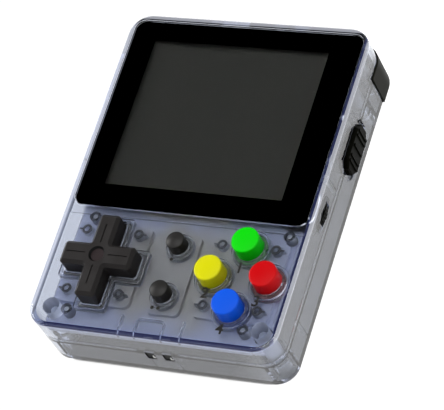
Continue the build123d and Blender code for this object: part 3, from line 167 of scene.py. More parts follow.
def plain_material(name, colour, metallic=0.0):
    """A material with one Principled shader of this colour."""
    made = bpy.data.materials.new(name)
    made.use_nodes = True
    made.diffuse_color = (*colour, 1.0)
    shader = made.node_tree.nodes["Principled BSDF"]
    shader.inputs["Base Color"].default_value = (*colour, 1.0)
    shader.inputs["Metallic"].default_value = metallic
    return made, shader


def add_moulding(made, shader, clean, smudged, grain_scale=5000.0, grain=0.0, ripple_scale=120.0, ripple=0.0):
    """Gives a material the roughness, grain and ripple of a moulding."""
    nodes = made.node_tree.nodes
    links = made.node_tree.links
    surface = nodes.new("ShaderNodeGroup")
    surface.node_tree = texture_group
    surface.inputs["Grain scale"].default_value = grain_scale
    surface.inputs["Ripple scale"].default_value = ripple_scale
    surface.inputs["Clean roughness"].default_value = clean
    surface.inputs["Smudged roughness"].default_value = smudged
    links.new(surface.outputs["Roughness"], shader.inputs["Roughness"])
    last = None
    for output, height in (("Grain", grain), ("Ripple", ripple)):
        if height > 0.0:
            bump = nodes.new("ShaderNodeBump")
            bump.inputs["Strength"].default_value = 1.0
            bump.inputs["Distance"].default_value = height
            links.new(surface.outputs[output], bump.inputs["Height"])
            if last is not None:
                links.new(last.outputs["Normal"], bump.inputs["Normal"])
            last = bump
    if last is not None:
        links.new(last.outputs["Normal"], shader.inputs["Normal"])
    return surface


def dress(material, *names):
    """Gives CAD nodes their material."""
    for name in names:
        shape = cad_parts[name]
        shape.data.materials.clear()
        shape.data.materials.append(material)


def clear_plastic(name):
    """Clear polycarbonate: polished, nearly colourless when thin and blue when thick."""
    made, shader = plain_material(name, (0.85, 0.87, 0.91))
    shader.inputs["Transmission Weight"].default_value = 1.0
    shader.inputs["IOR"].default_value = 1.5
    surface = add_moulding(made, shader, 0.02, 0.07, ripple_scale=160.0, ripple=0.00002)
    tree = made.node_tree
    tint = tree.nodes.new("ShaderNodeVolumeAbsorption")
    tint.inputs["Color"].default_value = (0.64, 0.67, 0.75, 1.0)
    tint.inputs["Density"].default_value = 230.0
    tree.links.new(tint.outputs["Volume"], tree.nodes["Material Output"].inputs["Volume"])
    return made, shader, surface


def inner_mask(reach, low_corner, high_corner):
    """Node group that is 1 inside a box and 0 outside it, with a soft edge of this reach."""
    group = bpy.data.node_groups.new("inner_mask", "ShaderNodeTree")
    group.interface.new_socket("Mask", in_out="OUTPUT", socket_type="NodeSocketFloat")
    result = group.nodes.new("NodeGroupOutput")
    place = group.nodes.new("ShaderNodeTexCoord")
    distance = box_distance(group, place.outputs["Object"], low_corner, high_corner)
    mask = ramp_step(group, distance, 0.0, reach, 1.0, 0.0)
    group.links.new(mask, result.inputs["Mask"])
    return group


def masked(made, reach, low_corner, high_corner):
    """Adds the mask of a box to a material, and gives its result."""
    mask = made.node_tree.nodes.new("ShaderNodeGroup")
    mask.node_tree = inner_mask(reach, low_corner, high_corner)
    return mask.outputs["Mask"]


clear_rear, _, _ = clear_plastic("clear_rear")
dress(clear_rear, "rear_shell", "battery_cover")

# Front shell: its inside is left matt, away from the walls
clear_front, front_shader, front_surface = clear_plastic("clear_front")
front_tree = clear_front.node_tree
face_inner = 17.7 * MM
above_all = 30.0 * MM
matt_margin = 2.0 * MM
matt_low = Vector((cad_low.x + matt_margin, cad_low.y + matt_margin, 1.8 * MM))
matt_high = Vector((-matt_low.x, -matt_low.y, face_inner))
matt_blend = front_tree.nodes.new("ShaderNodeMix")
matt_blend.inputs[MIX_SECOND_VALUE].default_value = 0.28
front_tree.links.new(masked(clear_front, 0.1 * MM, matt_low, matt_high), matt_blend.inputs[MIX_FACTOR])
front_tree.links.new(front_surface.outputs["Roughness"], matt_blend.inputs[MIX_FIRST_VALUE])
front_tree.links.new(matt_blend.outputs[MIX_VALUE_RESULT], front_shader.inputs["Roughness"])

# Rim of the face: a faint glow stands in for its lines, pale at the left and top, navy at the right and bottom
rim_width = 1.5 * MM
navy_width = 0.75 * MM
line_gap = 0.2 * MM
below_all = -10.0 * MM
front_low, front_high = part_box("front_shell")
front_place = front_tree.nodes.new("ShaderNodeTexCoord").outputs["Object"]
front_split = front_tree.nodes.new("ShaderNodeSeparateXYZ")
front_tree.links.new(front_place, front_split.inputs["Vector"])
middle_low = Vector((front_low.x + rim_width, front_low.y + rim_width, -rim_width))
middle_high = Vector((front_high.x - rim_width, front_high.y - rim_width, above_all))
face_middle = masked(clear_front, 0.3 * MM, middle_low, middle_high)
near_face = ramp_step(front_tree, front_split.outputs["Z"], 18.2 * MM, 18.5 * MM, 0.0, 1.0)
rim_only = number_step(front_tree, "SUBTRACT", near_face, face_middle)
rim_only.node.use_clamp = True
navy_low = Vector((front_low.x + rim_width + line_gap, front_low.y + below_all, below_all))
navy_high = Vector((front_high.x - navy_width, front_high.y - rim_width - line_gap, above_all))
navy_side = masked(clear_front, 0.15 * MM, navy_low, navy_high)
rim_light = colour_mix(front_tree, navy_side, (0.34, 0.35, 0.39), (0.014, 0.018, 0.070))
rim_glow = colour_mix(front_tree, rim_only, (0.0, 0.0, 0.0), rim_light)

# Left wall and the two lower screw posts: a faint glow stands in for the light that they gather
left_start = front_low.x + 0.8 * MM
left_end = front_low.x + 2.2 * MM
near_left = ramp_step(front_tree, front_split.outputs["X"], left_start, left_end, 1.0, 0.0)
left_glow = colour_mix(front_tree, near_left, rim_glow, (0.12, 0.125, 0.14), "LIGHTEN")
post_side_inset = 5.5 * MM
post_bottom_inset = 6.25 * MM
post_place = vector_step(front_tree, "MULTIPLY_ADD", front_place, FLATTEN)
post_place.node.inputs[2].default_value = (0.0, -front_low.y - post_bottom_inset, 0.0)
post_fold = vector_step(front_tree, "ABSOLUTE", post_place)
post_middle = (front_high.x - post_side_inset, 0.0, 0.0)
post_reach = vector_step(front_tree, "DISTANCE", post_fold, post_middle)
near_post = ramp_step(front_tree, post_reach, 3.3 * MM, 3.6 * MM, 1.0, 0.0)
under_face = number_step(front_tree, "LESS_THAN", front_split.outputs["Z"], face_inner)
post_only = number_step(front_tree, "MULTIPLY", near_post, under_face)
post_glow = colour_mix(front_tree, post_only, left_glow, (0.085, 0.09, 0.105), "LIGHTEN")
front_tree.links.new(post_glow, front_shader.inputs["Emission Color"])
front_shader.inputs["Emission Strength"].default_value = 1.0
dress(clear_front, "front_shell")


# Battery, terminals and speaker
# A flat cell in grey film lies in a bay of the rear shell, against three sprung contacts.
# The speaker is a black basket, held on a foam ring behind the grille.
def moulded(name, colour, clean, smudged, nodes=(), metallic=0.0, specular=0.5, **texture):
    """A material with the wear of a moulding, between these two roughnesses, put on these CAD nodes."""
    made, shader = plain_material(name, colour, metallic)
    shader.inputs["Specular IOR Level"].default_value = specular
    add_moulding(made, shader, clean, smudged, **texture)
    dress(made, *nodes)
    return made, shader


moulded(
    "battery_film",
    (0.045, 0.05, 0.062),
    0.28,
    0.42,
    ["battery"],
    grain_scale=2500.0,
    grain=0.000004,
    ripple_scale=220.0,
    ripple=0.00008,
)
moulded(
    "spring_gold",
    (0.83, 0.62, 0.27),
    0.18,
    0.32,
    ["terminal_springs"],
    metallic=1.0,
    grain_scale=9000.0,
    grain=0.000002,
)
resin_nodes = [
    "terminal_block",
    "dpad_pivot",
    "processor",
    "memory_chip",
    "volume_pot",
    "power_switch_body",
    "left_shoulder_switch",
    "right_shoulder_switch",
    "capacitors",
    "earphone_jack",
]
moulded("black_resin", (0.018, 0.018, 0.02), 0.38, 0.55, resin_nodes, grain_scale=7000.0, grain=0.00001)
moulded("speaker_black", (0.02, 0.02, 0.021), 0.45, 0.6, ["speaker"], grain_scale=3500.0, grain=0.00002)
foam_nodes = ["speaker_foam", "lcd_foam", "lcd_gasket"]
moulded("soft_foam", (0.03, 0.03, 0.032), 0.85, 0.95, foam_nodes, grain_scale=2600.0, grain=0.00008)


# Main board
# A fibreglass board with a pale lacquer fills the case. Its warm grey middle and lavender edges show
# through the clear face. A darker tinned ring round the head of each of its screws is also painted shade for
# the wall of the screw post above it.
def board_patches():
    """Node group of the board's colour by place: warm grey in the middle, lavender towards the edges."""
    group = bpy.data.node_groups.new("board_patches", "ShaderNodeTree")
    group.interface.new_socket("Colour", in_out="OUTPUT", socket_type="NodeSocketColor")
    nodes = group.nodes
    links = group.links
    result = nodes.new("NodeGroupOutput")
    place = nodes.new("ShaderNodeTexCoord")
    centre = nodes.new("ShaderNodeMapping")
    centre.inputs["Location"].default_value = (-2.0 * MM, 27.0 * MM, 0.0)
    links.new(place.outputs["Object"], centre.inputs["Vector"])
    stretch = vector_step(group, "MULTIPLY", centre.outputs["Vector"], (1.0, 1.75, 0.0))
    reach = vector_step(group, "LENGTH", stretch)
    cloud = nodes.new("ShaderNodeTexNoise")
    cloud.inputs["Scale"].default_value = 75.0
    cloud.inputs["Detail"].default_value = 1.5
    flat = vector_step(group, "MULTIPLY", place.outputs["Object"], FLATTEN)
    links.new(flat, cloud.inputs["Vector"])
    shift = number_step(group, "MULTIPLY_ADD", cloud.outputs["Fac"], 30.0 * MM)
    links.new(reach, shift.node.inputs[2])
    edge = ramp_step(group, shift, 30.0 * MM, 47.0 * MM, 0.0, 1.0)
    edge.node.interpolation_type = "SMOOTHSTEP"
    warm_grey = (0.60, 0.575, 0.52)
    lavender = (0.60, 0.635, 0.79)
    links.new(colour_mix(group, edge, warm_grey, lavender), result.inputs["Colour"])
    return group


patch_group = board_patches()


def add_patches(made, shader):
    """Gives a material the board's colour by place: warm grey in the middle, lavender towards the edges."""
    patches = made.node_tree.nodes.new("ShaderNodeGroup")
    patches.node_tree = patch_group
    made.node_tree.links.new(patches.outputs["Colour"], shader.inputs["Base Color"])


lacquer, lacquer_shader = moulded(
    "board_lacquer", (0.40, 0.40, 0.42), 0.35, 0.55, ["main_board"], grain_scale=3000.0, grain=0.000006
)
add_patches(lacquer, lacquer_shader)


def ring_tree():
    """Geometry nodes: one flat ring with a tail at each vertex of the mesh that carries the modifier."""
    tree = bpy.data.node_groups.new("ring_pads", "GeometryNodeTree")
    sockets = tree.interface
    for name, kind in (
        ("Geometry", "Geometry"),
        ("Middle radius", "Float"),
        ("Width", "Float"),
        ("Thickness", "Float"),
        ("Tail", "Vector"),
        ("Tail middle", "Vector"),
        ("Material", "Material"),
    ):
        sockets.new_socket(name, in_out="INPUT", socket_type="NodeSocket" + kind)
    sockets.new_socket("Geometry", in_out="OUTPUT", socket_type="NodeSocketGeometry")
    nodes = tree.nodes
    links = tree.links
    given = nodes.new("NodeGroupInput")
    result = nodes.new("NodeGroupOutput")
    tail = nodes.new("GeometryNodeMeshCube")
    links.new(given.outputs["Tail"], tail.inputs["Size"])
    tail_place = nodes.new("GeometryNodeTransform")
    links.new(tail.outputs["Mesh"], tail_place.inputs["Geometry"])
    links.new(given.outputs["Tail middle"], tail_place.inputs["Translation"])
    circle = nodes.new("GeometryNodeCurvePrimitiveCircle")
    circle.inputs["Resolution"].default_value = 40
    links.new(given.outputs["Middle radius"], circle.inputs["Radius"])
    section = nodes.new("GeometryNodeCurvePrimitiveQuadrilateral")
    links.new(given.outputs["Width"], section.inputs["Width"])
    links.new(given.outputs["Thickness"], section.inputs["Height"])
    ring = nodes.new("GeometryNodeCurveToMesh")
    links.new(circle.outputs["Curve"], ring.inputs["Curve"])
    links.new(section.outputs["Curve"], ring.inputs["Profile Curve"])
    places = nodes.new("GeometryNodeMeshToPoints")
    links.new(given.outputs["Geometry"], places.inputs["Mesh"])
    copies = nodes.new("GeometryNodeInstanceOnPoints")
    both = nodes.new("GeometryNodeJoinGeometry")
    links.new(ring.outputs["Mesh"], both.inputs["Geometry"])
    links.new(tail_place.outputs["Geometry"], both.inputs["Geometry"])
    links.new(places.outputs["Points"], copies.inputs["Points"])
    links.new(both.outputs["Geometry"], copies.inputs["Instance"])
    whole = nodes.new("GeometryNodeRealizeInstances")
    links.new(copies.outputs["Instances"], whole.inputs["Geometry"])
    coat = nodes.new("GeometryNodeSetMaterial")
    links.new(whole.outputs["Geometry"], coat.inputs["Geometry"])
    links.new(given.outputs["Material"], coat.inputs["Material"])
    links.new(coat.outputs["Geometry"], result.inputs["Geometry"])
    return tree


def show(name, content):
    """Puts a mesh, a curve, a lamp or a camera in the scene as an object of this name."""
    holder = bpy.data.objects.new(name, content)
    bpy.context.scene.collection.objects.link(holder)
    return holder


def plain_mesh(holder):
    """The final mesh of an object, which is then removed."""
    graph = bpy.context.evaluated_depsgraph_get()
    shape = bpy.data.meshes.new_from_object(holder.evaluated_get(graph))
    bpy.data.objects.remove(holder)
    return shape


def grow(name, places, tree, values):
    """Runs a geometry tree on a set of points, and keeps the result as a plain mesh."""
    seed_shape = bpy.data.meshes.new(name + "_places")
    seed_shape.from_pydata(places, [], [])
    holder = show(name + "_places", seed_shape)
    modifier = holder.modifiers.new(name, "NODES")
    modifier.node_group = tree
    for item in tree.interface.items_tree:
        if item.in_out == "INPUT" and item.name in values:
            modifier[item.identifier] = values[item.name]
    shape = plain_mesh(holder)
    shape.name = name
    return show(name, shape)


# Painted shade: the tinned rings are a darker grey, for the walls of the screw posts seen through the face
tin_and_post_shade, _ = moulded(
    "tin_and_post_shade", (0.36, 0.36, 0.36), 0.45, 0.6, metallic=0.3, grain_scale=7000.0, grain=0.000003
)
ring_group = ring_tree()
board_low, board_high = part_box("main_board")
pad_thickness = 0.04 * MM
screw_middles = ((-24.9, -41.85), (24.9, -41.85), (-25.9, -14.6), (29.5, -14.6), (-12.6, 43.9), (12.6, 43.9))
screw_pads = grow(
    "screw_pads",
    [(x * MM, y * MM, board_high.z) for x, y in screw_middles],
    ring_group,
    {
        "Middle radius": 1.06 * MM,
        "Width": 0.62 * MM,
        "Thickness": pad_thickness,
        "Tail": (0.5 * MM, 0.4 * MM, pad_thickness),
        "Tail middle": (0.0, 1.4 * MM, 0.0),
        "Material": tin_and_post_shade,
    },
)
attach(screw_pads, "console")

# Painted shade: thin grey rings on the pegs of the face, each with a small tail, stand in for the dark edges
# of the clear pegs and their ribs
peg_painted_shade, _ = moulded("peg_painted_shade", (0.17, 0.17, 0.175), 0.5, 0.65, grain_scale=6000.0, grain=0.000004)
peg_height = 17.82 * MM
peg_thickness = 0.06 * MM
peg_groups = (
    ("peg_rings_left", -1, ((-26.9, -18.55), (-26.9, -36.05), (12.1, -18.85), (12.1, -36.35))),
    ("peg_rings_right", 1, ((-11.9, -18.55), (-11.9, -36.05), (27.1, -18.85), (27.1, -36.35))),
)
for peg_name, side, peg_middles in peg_groups:
    peg_rings = grow(
        peg_name,
        [(x * MM, y * MM, peg_height) for x, y in peg_middles],
        ring_group,
        {
            "Middle radius": 1.03 * MM,
            "Width": 0.6 * MM,
            "Thickness": peg_thickness,
            "Tail": (0.9 * MM, 0.35 * MM, peg_thickness),
            "Tail middle": (side * 1.75 * MM, 0.0, 0.0),
            "Material": peg_painted_shade,
        },
    )
    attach(peg_rings, "console")

can_nodes = ["crystal", "usb_socket", "card_socket"]
moulded(
    "can_steel", (0.60, 0.60, 0.61), 0.22, 0.36, can_nodes, metallic=1.0, grain_scale=6000.0, grain=0.000003
)


# Display stack
# The display glass sits on a white tray with foam strips, behind a foam gasket, and a folded ribbon
# joins it to the board. It is switched off, so it shows as a flat dark grey.
moulded("display_glass", (0.030, 0.031, 0.028), 0.5, 0.55, ["lcd_panel"], specular=0.15)
tray_nodes = ["lcd_backlight", "left_plunger", "right_plunger"]
moulded("white_tray", (0.78, 0.78, 0.77), 0.4, 0.5, tray_nodes, grain_scale=4000.0, grain=0.000006)
moulded("ribbon_film", (0.55, 0.27, 0.06), 0.2, 0.3, ["lcd_ribbon"])
moulded("ivory_resin", (0.62, 0.58, 0.48), 0.35, 0.5, ["lcd_connector"], grain_scale=6000.0, grain=0.000006)
moulded("black_tape", (0.01, 0.01, 0.01), 0.6, 0.7, ["lens_tape"])


# Screen lens
# A sheet of hard clear plastic, glued in the recess of the face. Its underside carries a black print
# with a sharp window, so the border is deep black and the display shows behind it.
lens_low, lens_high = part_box("screen_lens")
panel_low, panel_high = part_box("lcd_panel")
window_left = panel_low.x + 2.0 * MM
window_right = panel_high.x - 1.75 * MM
window_bottom = panel_low.y + 3.0 * MM
window_top = panel_high.y - 2.5 * MM
window_corner = 0.15 * MM
print_height = lens_low.z + 0.03 * MM
print_rim = 0.12 * MM
print_corner = 3.2 * MM
corner_steps = 10
quarter_turn = 1.5707963


def rounded_loop(left, right, bottom, top, radius):
    """Points round a rectangle with round corners, at the height of the print."""
    points = []
    corners = (
        (right - radius, top - radius, 0),
        (left + radius, top - radius, 1),
        (left + radius, bottom + radius, 2),
        (right - radius, bottom + radius, 3),
    )
    for x, y, quarter in corners:
        for step in range(corner_steps + 1):
            turn = Matrix.Rotation((quarter + step / corner_steps) * quarter_turn, 3, "Z")
            arm = turn @ Vector((radius, 0.0, 0.0))
            points.append((x + arm.x, y + arm.y, print_height))
    return points


def sheet_from_loops(name, outer, inner):
    """A flat ring between two loops with the same number of points."""
    count = len(outer)
    faces = []
    for index in range(count):
        after = (index + 1) % count
        faces.append((index, after, count + after, count + index))
    shape = bpy.data.meshes.new(name)
    shape.from_pydata(outer + inner, [], faces)
    shape.update()
    return show(name, shape)


lens_clear, lens_shader = moulded("lens_clear", (1.0, 1.0, 1.0), 0.0, 0.02, ["screen_lens"])
lens_shader.inputs["Transmission Weight"].default_value = 1.0
lens_shader.inputs["IOR"].default_value = 1.46

print_outer = rounded_loop(
    lens_low.x + print_rim,
    lens_high.x - print_rim,
    lens_low.y + print_rim,
    lens_high.y - print_rim,
    print_corner,
)
print_inner = rounded_loop(window_left, window_right, window_bottom, window_top, window_corner)
lens_print = sheet_from_loops("lens_print", print_outer, print_inner)
black_ink, ink_shader = plain_material("black_ink", (0.0, 0.0, 0.0))
ink_shader.inputs["Specular IOR Level"].default_value = 0.0
ink_shader.inputs["Roughness"].default_value = 0.6
lens_print.data.materials.append(black_ink)
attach(lens_print, "console")


# Direction pad
# One black cross moulded in satin plastic, with a dished middle and a groove in each arm. It rocks on
# a small ball on the board, over a sheet of silicone rubber.
rim_top = 17.9 * MM
soft_edge = 0.05 * MM


def cross_mask(half_x, half_y, upright, crossbar, foot):
    """Node group that is 1 inside a cross and its foot of this width, and 0 outside."""
    group = bpy.data.node_groups.new("cross_mask", "ShaderNodeTree")
    group.interface.new_socket("Vector", in_out="INPUT", socket_type="NodeSocketVector")
    group.interface.new_socket("Mask", in_out="OUTPUT", socket_type="NodeSocketFloat")
    given = group.nodes.new("NodeGroupInput")
    result = group.nodes.new("NodeGroupOutput")
    folded = vector_step(group, "ABSOLUTE", given.outputs["Vector"])
    arms = []
    for reach_x, reach_y in ((half_x, crossbar), (upright, half_y)):
        past = vector_step(group, "SUBTRACT", folded, (reach_x, reach_y, 1.0))
        parts = group.nodes.new("ShaderNodeSeparateXYZ")
        group.links.new(past, parts.inputs["Vector"])
        arms.append(number_step(group, "MAXIMUM", parts.outputs["X"], parts.outputs["Y"]))
    nearer = number_step(group, "MINIMUM", arms[0], arms[1])
    mask = ramp_step(group, nearer, foot - soft_edge, foot, 1.0, 0.0)
    group.links.new(mask, result.inputs["Mask"])
    return group


def colour_over_rim_shade(made, shader, colour, rim_shade_colour, centre, foot_group=None, foot_radius=0.0):
    """Colours what stands out of the face and its foot, and gives the rim under the face a flat grey of
    painted shade.
    """
    tree = made.node_tree
    place = tree.nodes.new("ShaderNodeTexCoord").outputs["Object"]
    split = tree.nodes.new("ShaderNodeSeparateXYZ")
    tree.links.new(place, split.inputs["Vector"])
    level = ramp_step(tree, split.outputs["Z"], rim_top, rim_top + soft_edge, 0.0, 1.0)
    offset = vector_step(tree, "SUBTRACT", place, (centre.x, centre.y, 0.0))
    if foot_group is None:
        reach = vector_step(tree, "LENGTH", vector_step(tree, "MULTIPLY", offset, FLATTEN))
        foot = ramp_step(tree, reach, foot_radius, foot_radius + soft_edge, 1.0, 0.0)
    else:
        foot_node = tree.nodes.new("ShaderNodeGroup")
        foot_node.node_tree = foot_group
        tree.links.new(offset, foot_node.inputs["Vector"])
        foot = foot_node.outputs["Mask"]
    either = number_step(tree, "MAXIMUM", level, foot)
    mixed = colour_mix(tree, either, rim_shade_colour, colour)
    tree.links.new(mixed, shader.inputs["Base Color"])


# Painted shade: the rims under the face are a flat grey, for the shade round each button
rim_shade_grey = (0.24, 0.235, 0.225)
satin_colour = (0.014, 0.012, 0.0115)
dpad_low, dpad_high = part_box("dpad")
dpad_centre = (dpad_low + dpad_high) / 2
dpad_reach = (dpad_high - dpad_low) / 2
dpad_margin = 0.9 * MM
upright_half = 2.9 * MM
crossbar_half = 3.25 * MM
dpad_foot = cross_mask(
    dpad_reach.x - dpad_margin, dpad_reach.y - dpad_margin, upright_half, crossbar_half, 0.1 * MM
)
satin_black, satin_shader = moulded(
    "satin_black", satin_colour, 0.38, 0.5, ["dpad"], specular=0.22, grain_scale=9000.0, grain=0.00001
)

# Dimple of the pad: its sloped wall has painted shade, a near-black band, and its floor is coloured a warmer
# black
satin_tree = satin_black.node_tree
dimple_place = satin_tree.nodes.new("ShaderNodeTexCoord").outputs["Object"]
dimple_offset = vector_step(satin_tree, "SUBTRACT", dimple_place, (dpad_centre.x, dpad_centre.y, dpad_high.z))
dimple_flat = vector_step(satin_tree, "MULTIPLY", dimple_offset, FLATTEN)
dimple_reach = vector_step(satin_tree, "LENGTH", dimple_flat)
dimple_span = 4.5 * MM
dimple_bands = satin_tree.nodes.new("ShaderNodeValToRGB")
satin_tree.links.new(number_step(satin_tree, "DIVIDE", dimple_reach, dimple_span), dimple_bands.inputs["Fac"])
bands = dimple_bands.color_ramp
bands.interpolation = "CONSTANT"
bands.elements[0].color = (0.019, 0.0115, 0.0125, 1.0)
bands.elements[1].position = 0.5
bands.elements[1].color = (*satin_colour, 1.0)
# Painted shade: a near-black band for the sloped wall of the dimple
dimple_wall_shade = bands.elements.new(0.4)
dimple_wall_shade.color = (0.0015, 0.0015, 0.0015, 1.0)
colour_over_rim_shade(satin_black, satin_shader, dimple_bands.outputs["Color"], rim_shade_grey, dpad_centre, dpad_foot)

silicone, silicone_shader = moulded(
    "grey_silicone",
    (0.40, 0.385, 0.36),
    0.5,
    0.65,
    ["dpad_membrane", "action_membrane", "menu_membrane"],
    grain_scale=5000.0,
    grain=0.000008,
)
silicone_shader.inputs["Subsurface Weight"].default_value = 0.15
silicone_shader.inputs["Subsurface Radius"].default_value = (1.0 * MM, 1.0 * MM, 1.0 * MM)
add_patches(silicone, silicone_shader)


# Round buttons
# Four satin coloured caps and two small black domes stand in collars of the face.
# Each cap has a broad flat top with a soft edge, and a rim inside the face that stops it.
key_colours = {
    "upper_button": ("green_key", (0.0, 0.60, 0.0)),
    "lower_button": ("blue_key", (0.002, 0.085, 0.66)),
    "left_button": ("yellow_key", (0.62, 0.60, 0.002)),
    "right_button": ("red_key", (0.52, 0.0, 0.002)),
}
key_foot = 3.75 * MM
key_wear = {"grain_scale": 8000.0, "grain": 0.000004}
for key_node, (key_name, key_colour) in key_colours.items():
    key_material, key_shader = moulded(key_name, key_colour, 0.3, 0.42, [key_node], specular=0.12, **key_wear)
    key_low, key_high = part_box(key_node)
    # Painted shade: the rim of each cap under the face is mostly grey, with a quarter of the cap's colour
    key_rim_shade = [0.75 * pale + 0.25 * tint for pale, tint in zip(rim_shade_grey, key_colour)]
    key_centre = (key_low + key_high) / 2
    colour_over_rim_shade(key_material, key_shader, key_colour, key_rim_shade, key_centre, foot_radius=key_foot)

dome_colour = (0.012, 0.011, 0.010)
dome_foot = 2.55 * MM
for dome_node in ("menu_button_1", "menu_button_2"):
    dome_black, dome_shader = moulded(
        "dome_black", dome_colour, 0.4, 0.5, [dome_node], specular=0.22, **key_wear
    )
    dome_low, dome_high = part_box(dome_node)
    dome_centre = (dome_low + dome_high) / 2
    colour_over_rim_shade(dome_black, dome_shader, dome_colour, rim_shade_grey, dome_centre, foot_radius=dome_foot)


# Shoulder buttons, power knob and volume wheel
# The shoulder buttons are curved keys of smoked olive plastic that wrap the top rear corners, turning
# on steel pins. The power knob and the volume wheel are a darker moulding, and the screws dull zinc.
shoulder_nodes = ["left_shoulder", "right_shoulder"]
control_nodes = ["power_knob", "power_lever", "volume_wheel"]
pin_nodes = ["left_shoulder_pin", "right_shoulder_pin"]
screw_nodes = ["case_screws", "board_screws"]
olive_wear = {"grain_scale": 7000.0, "grain": 0.000005}
metal_wear = {"grain_scale": 8000.0, "grain": 0.000003}
moulded("smoked_olive", (0.009, 0.009, 0.006), 0.4, 0.5, shoulder_nodes, specular=0.04, **olive_wear)
moulded("dark_olive", (0.002, 0.002, 0.001), 0.4, 0.5, control_nodes, specular=0.02, **olive_wear)
moulded("bright_steel", (0.66, 0.66, 0.67), 0.35, 0.5, pin_nodes, metallic=1.0, **metal_wear)
moulded("dull_zinc", (0.62, 0.62, 0.64), 0.45, 0.6, screw_nodes, metallic=0.4, **metal_wear)


# Contact blocks
# Two small black blocks sit in the bottom wall, each with a bright bent strip on its outer face.
# The tongue of the charging socket is the same black moulding.
moulded("contact_black", (0.004, 0.004, 0.004), 0.4, 0.5, ["contact_blocks", "usb_tongue"], specular=0.1)
moulded(
    "contact_bright",
    (0.80, 0.80, 0.78),
    0.35,
    0.5,
    ["contact_tongues"],
    metallic=0.6,
    grain_scale=9000.0,
    grain=0.000002,
)


# Printed marks
# Plain numbers beside the coloured buttons, one dot and two dots below the black ones. They are
# thin dark ink on the face, and drop a faint shadow on the board.
mark_ink, _ = moulded("mark_ink", (0.020, 0.018, 0.015), 0.5, 0.6, specular=0.1)
face_height = 19.5 * MM
ink_height = 0.02 * MM
ink_middle = face_height + ink_height / 2
number_height = 2.9 * MM
letter_scale = 1.45
stroke_spread = 0.08 * MM
number_places = {
    "1": (19.4, -25.6),
    "2": (12.2, -33.6),
    "3": (26.5, -34.3),
    "4": (19.3, -43.0),
}


def printed_number(text, x, y):
    """A number as a thin solid of ink on the face."""
    curve = bpy.data.curves.new("number_" + text, "FONT")
    curve.body = text
    curve.align_x = "CENTER"
    curve.align_y = "CENTER"
    curve.size = number_height * letter_scale
    curve.extrude = ink_height / 2
    curve.offset = stroke_spread
    shape = plain_mesh(show("number_" + text, curve))
    shape.transform(Matrix.Translation((x * MM, y * MM, ink_middle)))
    return shape


for number, (number_x, number_y) in number_places.items():
    number_shape = printed_number(number, number_x, number_y)
    number_shape.materials.clear()
    number_shape.materials.append(mark_ink)
    number_piece = show("printed_" + number, number_shape)
    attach(number_piece, "console")

dot_radius = 0.5 * MM
dots = bmesh.new()
for dot_x, dot_y in ((0.1, -25.1), (-0.75, -39.2), (0.95, -39.2)):
    bmesh.ops.create_cone(
        dots,
        cap_ends=True,
        segments=24,
        radius1=dot_radius,
        radius2=dot_radius,
        depth=ink_height,
        matrix=Matrix.Translation((dot_x * MM, dot_y * MM, ink_middle)),
    )
dot_shape = bpy.data.meshes.new("printed_dots")
dots.to_mesh(dot_shape)
dots.free()
dot_shape.materials.append(mark_ink)
dot_piece = show("printed_dots", dot_shape)
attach(dot_piece, "console")


# Studio
# A white floor under two broad soft lights, with a pale surround that is darker on the side that the
# screen lens mirrors, so the lens stays deep black as in the photograph. The floor glows everywhere but under
# the case. There its colour is painted shade, dark and growing paler towards the right, to match the tone of
# the clear walls. The floor is clear from below, to show the back.
floor_size = 3.0
floor_level = -0.1 * MM
floor_corners = ((-1, -1), (1, -1), (1, 1), (-1, 1))
floor_shape = bpy.data.meshes.new("floor")
floor_points = [(x * floor_size, y * floor_size, floor_level) for x, y in floor_corners]
floor_shape.from_pydata(floor_points, [], [(0, 1, 2, 3)])
floor = show("floor", floor_shape)
floor_white, floor_shader = plain_material("floor_white", (0.30, 0.30, 0.30))
floor_shader.inputs["Emission Color"].default_value = (1.0, 1.0, 1.0, 1.0)
floor_shader.inputs["Roughness"].default_value = 0.9
floor_shader.inputs["Specular IOR Level"].default_value = 0.0
floor_tree = floor_white.node_tree
floor_place = floor_tree.nodes.new("ShaderNodeTexCoord").outputs["Object"]
shell_low, shell_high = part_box("rear_shell")
shade_corner = 7.0 * MM
shade_fade = 0.5 * MM
shade_low = Vector((shell_low.x + 1.2 * MM + shade_corner, shell_low.y + 0.5 * MM + shade_corner, -1.0))
shade_high = Vector((shell_high.x - 1.6 * MM - shade_corner, shell_high.y - 3.5 * MM - shade_corner, 1.0))
shade_distance = box_distance(floor_tree, floor_place, shade_low, shade_high)
floor_glow = ramp_step(floor_tree, shade_distance, shade_corner, shade_corner + shade_fade, 0.0, 0.97)
floor_tree.links.new(floor_glow, floor_shader.inputs["Emission Strength"])
floor_split = floor_tree.nodes.new("ShaderNodeSeparateXYZ")
floor_tree.links.new(floor_place, floor_split.inputs["Vector"])
# Painted shade: under the case the floor is dark, growing paler towards the right
dark_end = shell_high.x - 18.0 * MM
pale_start = shell_high.x - 8.0 * MM
floor_tone = ramp_step(floor_tree, floor_split.outputs["X"], dark_end, pale_start, 0.08, 0.55)
floor_tree.links.new(floor_tone, floor_shader.inputs["Base Color"])
floor_view = floor_tree.nodes.new("ShaderNodeNewGeometry")
floor_clear = floor_tree.nodes.new("ShaderNodeBsdfTransparent")
floor_one_sided = floor_tree.nodes.new("ShaderNodeMixShader")
floor_tree.links.new(floor_view.outputs["Backfacing"], floor_one_sided.inputs[0])
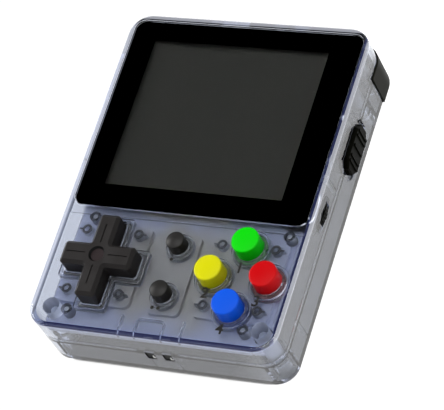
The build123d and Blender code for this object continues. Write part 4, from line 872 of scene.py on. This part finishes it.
floor_tree.links.new(floor_shader.outputs["BSDF"], floor_one_sided.inputs[1])
floor_tree.links.new(floor_clear.outputs["BSDF"], floor_one_sided.inputs[2])
floor_output = floor_tree.nodes["Material Output"]
floor_tree.links.new(floor_one_sided.outputs["Shader"], floor_output.inputs["Surface"])
floor_shape.materials.append(floor_white)


def soft_light(name, place, size, power):
    """A square soft light that looks at the middle of the console."""
    lamp = bpy.data.lights.new(name, "AREA")
    lamp.shape = "SQUARE"
    lamp.size = size
    lamp.energy = power
    holder = show(name, lamp)
    holder.location = place
    holder.rotation_euler = (-Vector(place)).to_track_quat("-Z", "Y").to_euler()


soft_light("overhead_light", (0.08, 0.08, 1.1), 0.6, 6.5)
soft_light("left_light", (-1.05, 0.15, 0.62), 0.5, 9.0)

world = bpy.data.worlds.new("studio_surround")
world.use_nodes = True
bpy.context.scene.world = world
world_tree = world.node_tree
surround = world_tree.nodes["Background"]
direction = world_tree.nodes.new("ShaderNodeTexCoord")
mirrored_view = (-0.4253, 0.4245, 0.7993)
toward = vector_step(world_tree, "DOT_PRODUCT", direction.outputs["Generated"], mirrored_view)
surround_power = ramp_step(world_tree, toward, 0.92, 0.985, 0.5, 0.0)
surround.inputs["Color"].default_value = (0.95, 0.97, 1.0, 1.0)
world_tree.links.new(surround_power, surround.inputs["Strength"])

# Camera of the photograph, fitted to its straight edges
focal_pixels = 2678.739
photo_width = 444.0
lens = bpy.data.cameras.new("camera")
lens.sensor_fit = "HORIZONTAL"
lens.sensor_width = 36.0
lens.lens = focal_pixels * lens.sensor_width / photo_width
lens.clip_start = 0.05
lens.clip_end = 20.0
camera = show("camera", lens)
right = Vector((0.9006, 0.2863, -0.3271))
up = Vector((-0.0900, 0.8590, 0.5041))
back = Vector((0.4253, -0.4245, 0.7993))
turned = Matrix((right, up, back)).transposed().to_4x4()
camera.matrix_world = Matrix.Translation((0.300063, -0.298699, 0.566598)) @ turned
bpy.context.scene.camera = camera
bpy.context.scene.view_settings.view_transform = "Standard"
